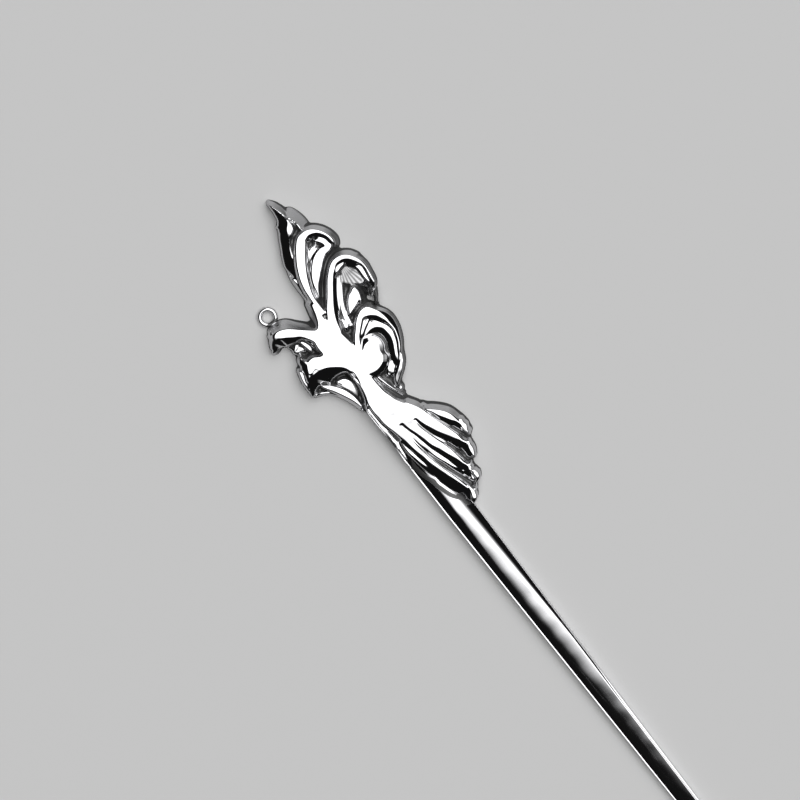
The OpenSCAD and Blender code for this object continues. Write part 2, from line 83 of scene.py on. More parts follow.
@dataclass(frozen=True)
class Stroke:
    """Metal raised along a smooth line: a flat top, a bevel on each side of it, and steep walls.

    A row is a place on the line (x, y), the half width of the flat top, its height, and the runs of the
    bevels on the left and right of the line. A row may stop early, after the half width or later, and then
    takes the rest from the stroke's own height and runs. Walls end within wall_reach of the bevels.
    """

    rows: Rows
    left_slope: float = 1.0
    right_slope: float = 1.0
    left_run: float = 0.0
    right_run: float = 0.0
    wall_slope: float = 4.5
    high: float = 0.0
    wall_reach: float = 2.0

    def table(self) -> Array:
        """The rows with every column filled in."""
        own = (self.high, self.left_run, self.right_run)
        return np.array([(*row, *own[len(row) - 3:]) for row in self.rows])

    def stations(self, steps: int) -> Array:
        """Rows along the smooth line: a cubic through each pair of rows, with slopes from their neighbours.

        Args:
            steps: how many stations each stretch between two rows gets.

        Returns:
            An array with the columns of the rows.
        """
        rows = self.table()
        ends = np.vstack([rows[:1], rows, rows[-1:]])
        before, start, end, after = ends[:-3], ends[1:-2], ends[2:-1], ends[3:]
        t = (np.arange(steps) / steps)[None, :, None]
        before, start, end, after = (part[:, None, :] for part in (before, start, end, after))
        curve = 0.5 * (2 * start + (end - before) * t + (2 * before - 5 * start + 4 * end - after) * t**2
                       + (3 * start - before - 3 * end + after) * t**3)
        line = np.vstack([curve.reshape(-1, rows.shape[1]), rows[-1:]])
        line[:, 2:] = np.maximum(line[:, 2:], 0.0)
        return line

    def heights(self, x: Array, y: Array, steps: int = 8) -> Array:
        """Height of the stroke over each place, which falls below zero outside it.

        The distance to the nearest point of the line, less the top's half width, runs down the bevel of its
        side first and down the wall after that.

        Args:
            x, y: places, as two grids of one shape.
            steps: stations for each stretch between two rows.

        Returns:
            Heights, in a grid of the same shape.
        """
        nearest = np.full(x.shape, np.inf)
        side = np.zeros(x.shape)
        found = np.zeros((4,) + x.shape)
        line = self.stations(steps)
        for start, end in zip(line[:-1], line[1:]):
            dx, dy = end[:2] - start[:2]
            length_2 = dx * dx + dy * dy
            if length_2 == 0:
                continue
            t = np.clip(((x - start[0]) * dx + (y - start[1]) * dy) / length_2, 0, 1)
            off_x, off_y = x - start[0] - t * dx, y - start[1] - t * dy
            distance = np.hypot(off_x, off_y)
            closer = distance < nearest
            nearest = np.where(closer, distance, nearest)
            side = np.where(closer, dx * off_y - dy * off_x, side)
            change = (end - start)[2:, None, None]
            found = np.where(closer, start[2:, None, None] + t * change, found)
        top, high, left_run, right_run = found
        over = np.maximum(nearest - top, 0)
        run = np.where(side > 0, left_run, right_run)
        slope = np.where(side > 0, self.left_slope, self.right_slope)
        return high - np.minimum(over, run) * slope - np.maximum(over - run, 0) * self.wall_slope

    def reach(self) -> tuple[float, float, float, float]:
        """Lowest and highest x, then y, that the stroke can touch."""
        rows = self.table()
        pad = rows[:, 2].max() + rows[:, 4:].max() + self.wall_reach
        return rows[:, 0].min() - pad, rows[:, 0].max() + pad, rows[:, 1].min() - pad, rows[:, 1].max() + pad


class Relief:
    """Part of the ornament: a dataclass whose fields are its strokes, alone or in tuples."""

    def strokes(self) -> Iterator[Stroke]:
        """Every stroke of the part, field by field."""
        for entry in fields(self):
            value = getattr(self, entry.name)
            yield from value if isinstance(value, tuple) else (value,)


@dataclass(frozen=True)
class Crest(Relief):
    """Pointed leaf at the far end: a sharp ridge with a long bevel, a shoulder above it and a heel below."""

    ridge: Stroke = Stroke(((-62, 7.15, 0.02, 2.5, 0.5, 0.1), (-61.2, 7.5, 0.02, 2.8, 0.9, 0.5),
        (-60.2, 7.85, 0.02, 3, 0.9, 0.95), (-59, 8.15, 0.02, 3.1, 0.95, 1.55),
        (-58, 8.15, 0.05, 3.15, 0.95, 2), (-57.3, 7.95, 0.3, 3.15, 0.8, 2),
        (-56.6, 7.6, 0.55, 3.15, 0.3, 1.6), (-55.9, 7, 0.45, 3.1, 0.1, 1.5), (-55.2, 6.3, 0.15, 3, 0, 1.55),
        (-54, 5.65, 0.03, 2.85, 0, 1.7), (-52.6, 4.95, 0.03, 2.85, 0, 1.8), (-51, 4.2, 0.03, 2.9, 0, 1.7),
        (-49.6, 3.55, 0.03, 2.9, 0, 0.8)), 3.2, 0.42, wall_slope=6)
    shoulder: Stroke = Stroke(((-58.2, 8.4, 0.02), (-57.4, 8.7, 0.02), (-56.4, 8.9, 0.02),
        (-55.4, 8.9, 0.02)), 1.5, 2.5, 1.6, 0.5, wall_slope=6, high=2.9)
    heel: Stroke = Stroke(((-49.6, 2.45, 0.05, 2.6), (-48.4, 2.72, 0.25, 2.65), (-47, 2.62, 0.32, 2.65),
        (-46, 2.5, 0.28, 2.6), (-45, 2.25, 0.12, 2.5), (-43.2, 1.8, 0.1, 2.3)), 0.5, 0.5, 0.1, 0.1)
    sole: Stroke = Stroke(((-52.2, 3.1, 0.03), (-51, 2.6, 0.03), (-49.6, 2.2, 0.06), (-48, 2.1, 0.12),
        (-46, 2.05, 0.12), (-45, 1.8, 0.05), (-44, 1.4, 0.03)), high=1.9)


@dataclass(frozen=True)
class FirstScroll(Relief):
    """Scroll beside the crest: a sunk floor, a rim around it and a smooth dome that curls back inside."""

    floor: Stroke = Stroke(((-43.6, 3.8, 0.3, 2), (-46, 4.7, 0.9, 1.9), (-48.5, 6.3, 1.6, 1.7),
        (-50.6, 8.2, 2.2, 1.6), (-51.2, 9.8, 2.1, 1.6), (-51, 10.9, 1.2, 1.6)))
    rim: Stroke = Stroke(((-42, 2.95, 0.5, 3.5, 0, 0), (-43.5, 3.05, 0.35, 3.5, 0.2, 0.1),
        (-45, 3.1, 0.27, 3.48, 0.25, 0.3), (-47, 3.5, 0.45, 3.45, 0.25, 0.4),
        (-49, 4.25, 0.6, 3.4, 0.25, 0.45), (-51, 5.4, 0.7, 3.4, 0.25, 0.45),
        (-52.9, 6.85, 0.75, 3.4, 0.25, 0.45), (-53.9, 7.8, 0.7, 3.4, 0.25, 0.45),
        (-54.15, 8.6, 0.6, 3.4, 0.22, 0.2), (-54.2, 9.3, 0.5, 3.4, 0.2, 0.2),
        (-53.9, 10.1, 0.38, 3.4, 0.2, 0.6), (-53.35, 10.85, 0.25, 3.4, 0.2, 0.8),
        (-52.5, 11.45, 0.17, 3.4, 0.25, 0.8), (-51.6, 11.82, 0.13, 3.4, 0.28, 0.6),
        (-50.6, 11.92, 0.1, 3.4, 0.35, 0.4), (-50, 11.75, 0.05, 3.3, 0.35, 0.1)), 0.75, 0.66)
    ledge: Stroke = Stroke(((-53.2, 9.8, 0.02, 3.1), (-53.2, 9.35, 0.18, 3.1), (-53.15, 8.95, 0.18, 3.1),
        (-53, 8.6, 0.02, 3.05)), 0.6, 0.6, 0.1, 0.3)
    dome: Stroke = Stroke(((-44.4, 4.15, 0.03, 3.1), (-45.5, 4.6, 0.2, 3.1), (-46.5, 5.1, 0.45, 3.1),
        (-47.5, 5.85, 0.7, 3.1), (-48.55, 6.85, 0.85, 3.1), (-49.55, 8.05, 0.85, 3.1),
        (-50.1, 9.35, 0.72, 3.1), (-50.1, 10.35, 0.57, 3.1), (-50.6, 10.9, 0.62, 3.1),
        (-51.3, 10.65, 0.45, 3.1), (-52, 10.15, 0.35, 3.1), (-52.35, 9.6, 0.2, 3.05)), 1.15, 0.6, 0.3, 0.15)
    curl: Stroke = Stroke(((-51.65, 8.9, 0.1, 2.9), (-51.45, 8.4, 0.4, 2.9), (-51.15, 7.8, 0.42, 2.88),
        (-50.8, 7.2, 0.36, 2.85), (-50.3, 6.6, 0.1, 2.8)), 0.6, 0.6, 0.3, 0.15)
    hearth: Stroke = Stroke(((-51.2, 9.6, 0.5, 2.4), (-51.9, 9, 0.6, 2.4), (-52, 8, 0.5, 2.3),
        (-51.3, 7, 0.4, 2.2)), 0.5, 0.5, 0.3, 0.3)


@dataclass(frozen=True)
class SecondScroll(Relief):
    """Tallest scroll: as the first, with a bowl, a raised band along its floor and a leaf in its middle."""

    floor: Stroke = Stroke(((-36.6, 4.4, 0.5, 2.3), (-38.5, 5, 0.8, 2.2), (-41, 6.5, 1.5, 2.1),
        (-43.5, 8.6, 2.2, 2), (-44.6, 10.4, 2.3, 2), (-43.3, 11.8, 1.4, 2), (-41, 12, 1, 2),
        (-39.8, 11.6, 0.6, 1.8)))
    rim: Stroke = Stroke(((-38, 2.8, 0.7, 3.5, 0.1, 0.3), (-39.5, 3.15, 0.72, 3.5, 0.15, 0.6),
        (-41.2, 4.05, 0.6, 3.5, 0.2, 0.95), (-43.1, 5.45, 0.48, 3.45, 0.2, 1.05),
        (-45, 6.95, 0.45, 3.45, 0.2, 1.05), (-46, 7.8, 0.43, 3.45, 0.2, 0.6),
        (-46.6, 8.5, 0.3, 3.45, 0.2, 0.1)), 0.75, 0.74)
    bend: Stroke = Stroke(((-45.9, 7.7, 0.42, 3.45, 0.2, 0.1), (-46.85, 8.8, 0.47, 3.45, 0.2, 0.12),
        (-47.4, 9.7, 0.45, 3.45, 0.2, 0.12), (-47.5, 10.6, 0.45, 3.45, 0.2, 0.12),
        (-47.3, 11.5, 0.36, 3.45, 0.2, 0.6), (-46.7, 12.35, 0.32, 3.45, 0.2, 0.95),
        (-45.8, 12.95, 0.27, 3.45, 0.2, 0.8)), 0.75, 0.5)
    crown: Stroke = Stroke(((-46.1, 12.8, 0.3, 3.45, 0.2, 0.8), (-45.3, 13.2, 0.22, 3.45, 0.35, 0.4),
        (-44.5, 13.42, 0.17, 3.45, 0.45, 0.08), (-43.6, 13.48, 0.15, 3.42, 0.45, 0.05),
        (-42.8, 13.4, 0.13, 3.35, 0.4, 0.08), (-41.7, 13.25, 0.18, 3.3, 0.25, 0.15),
        (-40.7, 13.1, 0.2, 3.2, 0.1, 0.3), (-40.2, 12.75, 0.15, 3.1, 0.1, 0.4),
        (-39.7, 12, 0.1, 3, 0.1, 0.3), (-39, 11.3, 0.06, 2.9, 0.1, 0.2)), 0.8, 0.5, wall_slope=16)
    ledge: Stroke = Stroke(((-46.7, 11.35, 0.15, 3.3), (-46.6, 10.8, 0.43, 3.3), (-46.5, 10, 0.45, 3.3),
        (-46.2, 9.2, 0.42, 3.3), (-45.65, 8.5, 0.12, 3.2)), 0.6, 0.6, 0.12, 0.12)
    crescent: Stroke = Stroke(((-45.8, 11.3, 0.05), (-45.1, 12, 0.15), (-44.4, 12.55, 0.28),
        (-43.5, 12.7, 0.4), (-42.5, 12.7, 0.42), (-41.4, 12.7, 0.35), (-40.8, 12.5, 0.12)), 0.6, 0.6, 0.12,
        0.12, high=3)
    bowl: Stroke = Stroke(((-45.5, 10.3, 0.5, 2.85), (-44.9, 10.4, 1.2, 2.85), (-44.2, 10.5, 1.5, 2.8),
        (-43.3, 10.9, 1.1, 2.75), (-42.4, 11.4, 0.6, 2.7)), 0.4, 0.4, 0.3, 0.3)
    band: Stroke = Stroke(((-44.9, 9, 0.3, 2.85), (-44, 8.3, 0.4, 2.85), (-43, 7.65, 0.36, 2.85),
        (-42, 7, 0.33, 2.85), (-41, 6.4, 0.34, 2.85), (-40, 5.9, 0.36, 2.85), (-39, 5.6, 0.42, 2.85),
        (-38, 5.4, 0.45, 2.85), (-37.4, 5.3, 0.35, 2.8)), 0.6, 0.6, 0.1, 0.1)
    spur: Stroke = Stroke(((-39, 4.75, 0.05, 2.9), (-38.2, 4.6, 0.18, 2.9), (-37.5, 4.45, 0.28, 2.9),
        (-37.2, 4.35, 0.2, 2.85)), 0.6, 0.6, 0.1, 0.1)
    leaf: Stroke = Stroke(((-38.9, 6.45, 0.1), (-39.3, 6.95, 0.35), (-39.85, 7.6, 0.68),
        (-40.45, 8.35, 0.88), (-41.1, 9.1, 0.85), (-41.6, 9.5, 0.5)), 0.6, 0.8, 0.12, 0.12, high=3.3)
    leaf_tip: Stroke = Stroke(((-42, 9.9, 0.05), (-41.2, 9.95, 0.1), (-40.4, 9.75, 0.1), (-39.6, 9.35, 0.1)),
        0.75, 0.72, 0.1, 0.75, high=3.3)


@dataclass(frozen=True)
class ThirdScroll(Relief):
    """Scroll that curls over towards the point and ends in a lip above the waist."""

    rim: Stroke = Stroke(((-33.2, 3.6, 0.45, 3.5, 0.1, 0.2), (-34.2, 4.3, 0.4, 3.5, 0.2, 0.3),
        (-35.2, 5.05, 0.4, 3.5, 0.2, 0.12), (-36, 5.85, 0.4, 3.5, 0.2, 0.12),
        (-36.9, 6.8, 0.48, 3.5, 0.2, 0.12), (-37.45, 7.6, 0.55, 3.5, 0.2, 0.12),
        (-37.65, 8.4, 0.7, 3.5, 0.2, 0.3), (-37.45, 9.1, 0.75, 3.5, 0.2, 0.7),
        (-36.9, 9.7, 0.55, 3.5, 0.2, 0.8)), 0.75, 0.5)
    crown: Stroke = Stroke(((-37.2, 9.4, 0.6, 3.5, 0.1, 0.8), (-36.2, 10.15, 0.4, 3.5, 0.5, 0.8),
        (-35.3, 10.5, 0.28, 3.5, 0.85, 0.7), (-34.4, 10.75, 0.15, 3.5, 1.05, 0.6),
        (-33.5, 10.85, 0.03, 3.5, 1.1, 0.4), (-32.2, 10.85, 0.03, 3.45, 0.85, 0.25),
        (-31, 10.5, 0.03, 3.4, 0.7, 0.2), (-30, 10.05, 0.03, 3.35, 0.6, 0.2),
        (-29, 9.4, 0.03, 3.3, 0.5, 0.2), (-28, 8.65, 0.03, 3.2, 0.45, 0.2),
        (-27.1, 7.7, 0.03, 3.1, 0.4, 0.2), (-26.4, 6.7, 0.03, 3, 0.35, 0.2)), 0.8, 0.5, wall_slope=16)
    floor: Stroke = Stroke(((-34.2, 5.4, 0.5, 2.2), (-35.2, 7.4, 1.4, 2.2), (-34.3, 9, 1.8, 2.2),
        (-32, 9, 1.8, 2.2), (-29.5, 8, 1.7, 2), (-27.5, 6.6, 1.4, 2), (-26.2, 5.3, 1, 1.8)))
    ledge: Stroke = Stroke(((-36.2, 8.35, 0.1, 3.25), (-36.2, 8, 0.3, 3.25), (-36, 7.35, 0.33, 3.25),
        (-35.6, 6.7, 0.28, 3.25), (-35, 5.9, 0.2, 3.25), (-34.5, 5.35, 0.05, 3.2)), 0.6, 0.6, 0.12, 0.1)
    band: Stroke = Stroke(((-34.1, 5.6, 0.08, 3.05), (-34.7, 6.55, 0.3, 3.08), (-35.05, 7.5, 0.46, 3.1),
        (-35, 8.4, 0.55, 3.1), (-34.5, 9.05, 0.45, 3.1), (-33.6, 9.65, 0.32, 3.1), (-32.4, 9.9, 0.36, 3.1),
        (-31.4, 9.95, 0.45, 3.1), (-30.4, 9.6, 0.42, 3.1), (-29.4, 9, 0.34, 3.1), (-28.4, 8.4, 0.28, 3.1),
        (-27.5, 7.9, 0.1, 3.05)), 0.75, 0.5, 0.3, 1.2)
    lip: Stroke = Stroke(((-28.1, 9.2, 0.03, 3.2), (-27.1, 8.45, 0.25, 3.2), (-26.4, 7.7, 0.33, 3.15),
        (-25.8, 6.95, 0.38, 3.1), (-25.4, 6.3, 0.4, 3.05), (-24.95, 5.8, 0.32, 3),
        (-24.35, 5.35, 0.12, 2.95)), 0.6, 0.5, 0.1, 0.3, wall_slope=8)
    bed: Stroke = Stroke(((-28.1, 7.1, 0.2, 2.7), (-27.4, 6.55, 0.5, 2.7), (-26.85, 5.9, 0.55, 2.7),
        (-26.6, 5.4, 0.35, 2.65)), 0.5, 0.5, 0.15, 0.3)
    hearth: Stroke = Stroke(((-28, 4.4, 0.4, 2.3), (-26.6, 4.5, 0.6, 2.2), (-25.2, 4.75, 0.4, 2),
        (-23.6, 5, 0.25, 1.7)), 0.3, 0.3, 0.5, 0.5)
    fold: Stroke = Stroke(((-27.9, 3.4, 0.02, 3), (-26.4, 3.72, 0.06, 2.95), (-25, 4.05, 0.06, 2.85),
        (-23.6, 4.5, 0.02, 2.6), (-22.4, 4.9, 0.02, 2.2)), 0.35, 0.5, 0.15, 0.4)


@dataclass(frozen=True)
class FirstHook(Relief):
    """Hook below the first scroll, with a deep hollow behind its back and a lip above the hollow."""

    floor: Stroke = Stroke(((-38.1, -3, 0.5, 1.6), (-39, -3.9, 1, 1.5), (-40, -4.6, 0.9, 1.5),
        (-40.7, -5.4, 0.3, 1.4)))
    lip: Stroke = Stroke(((-37.4, -1.65, 0.15, 3.2), (-38.8, -1.75, 0.2, 3.2), (-40.1, -2.1, 0.2, 3.2),
        (-41, -2.75, 0.1, 3.15)), 0.6, 0.6, 0.1, 0.1)
    sill: Stroke = Stroke(((-38.2, -2.75, 0.2), (-39.3, -2.9, 0.27), (-40.3, -3.2, 0.2),
        (-40.8, -3.5, 0.05)), 0.5, 0.5, 0.1, 0.2, high=2.6)
    ripple: Stroke = Stroke(((-40.9, -4, 0.15, 2.1), (-40.2, -4.2, 0.2, 2.1), (-39.5, -4.9, 0.25, 2.05),
        (-39.2, -4.1, 0.25, 2), (-38.8, -3.7, 0.15, 1.9)), 0.4, 0.4, 0.3, 0.3)
    foot: Stroke = Stroke(((-43.5, -7.3, 0.05), (-42.9, -7.5, 0.17), (-42.4, -7.75, 0.1)), high=1.9)
    wedge: Stroke = Stroke(((-44.4, -6.1, 0.02, 3, 0, 0.5), (-43.9, -6.3, 0.02, 2.9, 0, 0.9),
        (-43.3, -6.8, 0.02, 2.7, 0, 0.5)), 1, 0.5)
    wall: Stroke = Stroke(((-41.2, -0.9, 0.02, 3.4, 0, 0.4), (-42.6, -2.4, 0.02, 3.35, 0, 0.7),
        (-43.7, -3.8, 0.02, 3.3, 0, 1.2), (-44.15, -5, 0.02, 3.2, 0, 1.3), (-44.1, -5.9, 0.02, 3, 0, 1.2),
        (-43.5, -6.7, 0.02, 2.6, 0, 0.8)), 1, 1.7)
    back: Stroke = Stroke(((-38.8, 0, 1.3, 3.5, 0, 0.1), (-40.1, -0.9, 0.85, 3.5, 0.1, 0.12),
        (-41.3, -2, 0.6, 3.5, 0.4, 0.15), (-42.3, -3.2, 0.7, 3.48, 1.1, 0.15),
        (-43.05, -4.2, 0.72, 3.45, 1.5, 0.15), (-43.5, -5.1, 0.66, 3.42, 1.8, 0.2),
        (-43.55, -5.75, 0.5, 3.4, 2.1, 0.4), (-43.2, -6.45, 0.2, 3.3, 2.1, 0.6),
        (-42.95, -7.05, 0.04, 3.1, 1.9, 0.5), (-42.4, -7.7, 0.02, 2.7, 1, 0.15)), 0.5, 0.75)


@dataclass(frozen=True)
class SecondHook(Relief):
    """Broader hook nearer the shank: a tongue that ends in a toe, and a long hollow under the waist."""

    floor: Stroke = Stroke(((-26.6, -1.65, 0.1), (-27.6, -1.4, 0.5), (-29, -1.45, 0.75), (-30.1, -1.8, 0.65),
        (-30.8, -2.6, 0.25)), 0.5, 0.5, 0.1, 0.1, high=1.7)
    rise: Stroke = Stroke(((-25.1, -2, 0.12, 2.4), (-27, -2.3, 0.38, 2.4), (-28.8, -2.95, 0.5, 2.4),
        (-30.2, -3.75, 0.45, 2.4), (-31.2, -4.5, 0.33, 2.4), (-32, -5.15, 0.08, 2.35)), 0.6, 0.8, 0.1, 0.15)
    edge: Stroke = Stroke(((-24.4, -2.2, 0.05, 1.9), (-26.5, -2.8, 0.05, 1.9), (-28.6, -3.7, 0.05, 1.9),
        (-30.2, -4.8, 0.05, 1.9), (-31.1, -6.1, 0.1, 1.9), (-31.3, -7, 0.05, 1.8)), 0.6, 0.6, 0.25, 0.15)
    foot: Stroke = Stroke(((-36.3, -6.5, 0.15, 2.85), (-35, -6.75, 0.32, 2.85), (-33.8, -6.95, 0.34, 2.85),
        (-32.9, -7.2, 0.18, 2.8)), 1, 0.5, 0, 0.1)
    toe: Stroke = Stroke(((-37.2, -4.6, 0.15, 3.5, 0, 1), (-36.4, -4.6, 0.2, 3.5, 0, 1.25),
        (-35.6, -4.95, 0.3, 3.48, 0, 1), (-34.9, -5.5, 0.2, 3.45, 0, 0.7), (-34.3, -6, 0.05, 3.4, 0, 0.5)),
        1, 0.5)
    top: Stroke = Stroke(((-35, 0.2, 1.6), (-35.1, -1.2, 1.3), (-35.3, -2.2, 1.05), (-35.65, -3.1, 1.05),
        (-36, -3.75, 1.05), (-35.8, -4.4, 0.8), (-35.3, -5, 0.4)), 1, 0.7, 0, 0.2, high=3.5)
    back: Stroke = Stroke(((-31.6, 1.2, 0.9, 3.5, 0.2), (-32.8, 0.4, 0.7, 3.5, 0.9),
        (-34, -0.8, 0.75, 3.5, 1.9), (-34.8, -2.2, 0.7, 3.5, 2.7), (-35.1, -3.8, 0.6, 3.48, 3.2),
        (-34.85, -5.2, 0.4, 3.42, 3.2), (-34.25, -6.2, 0.1, 3.2, 2.8), (-33.4, -6.9, 0.04, 2.9, 1.9),
        (-32.3, -7.5, 0.03, 2.5, 0.8)), 0.46)


@dataclass(frozen=True)
class Body(Relief):
    """Broad plain band that joins the scrolls and hooks and narrows to the waist, with a dome on it."""

    band: Stroke = Stroke(((-44, 2.5, 0.2, 3.5, 0, 0.5), (-42.6, 2.25, 0.35, 3.5, 0, 0.5),
        (-41.2, 2, 0.65, 3.5, 0, 0.3), (-40, 1.7, 1.25, 3.5, 0, 0.1), (-38.7, 1, 2.2, 3.5, 0, 0.1),
        (-36.5, 1, 2.4, 3.5, 0, 0.1), (-34, 1.5, 2.2, 3.5, 0, 0), (-31.5, 2, 1.5, 3.5, 0, 0),
        (-29, 1.6, 1.05, 3.5, 0.3, 0.06), (-26, 1.2, 1.4, 3.5, 0.4, 0.08), (-24, 1.05, 1.85, 3.5, 0.4, 0.1),
        (-22, 1.3, 2.15, 3.5, 0.2, 0.1), (-20.9, 1.5, 2.3, 3.5, 0.1, 0.1)), 0.8, 0.8, wall_slope=3)
    fork: Stroke = Stroke(((-22, 2.5, 1.2), (-20.5, 3.1, 1.4), (-19.2, 3.8, 1.3), (-18.6, 4.1, 0.8)),
        high=3.5)
    dome: Stroke = Stroke(((-32, 5.6, 1.3, 3.5, 1.1, 1.1), (-31.2, 4.9, 1.9, 3.5, 1.1, 1.1),
        (-30.2, 4.2, 1.75, 3.5, 1, 1), (-30.4, 2.8, 1.6, 3.5, 0.3, 0.3)), 0.5, 0.5)
    step: Stroke = Stroke(((-31.6, -0.05, 0.06, 3.4), (-30.8, 0.15, 0.12, 3.45), (-29, 0.2, 0.14, 3.45),
        (-27.5, 0, 0.15, 3.45), (-26, -0.45, 0.17, 3.42), (-24.5, -1.05, 0.2, 3.42)))
    hem: Stroke = Stroke(((-25.2, -1.2, 0.05, 3.2, 0.2), (-23.8, -1.55, 0.08, 3.2, 0.5),
        (-22, -1.62, 0.08, 3.15, 0.5), (-19.5, -1.58, 0.08, 3.05, 0.55), (-17, -1.5, 0.08, 2.9, 0.6),
        (-15.4, -1.6, 0.08, 2.8, 0.9), (-13.8, -1.75, 0.08, 2.6, 1), (-12.4, -1.9, 0.05, 2.4, 0.6)), 0.28,
        wall_slope=8)


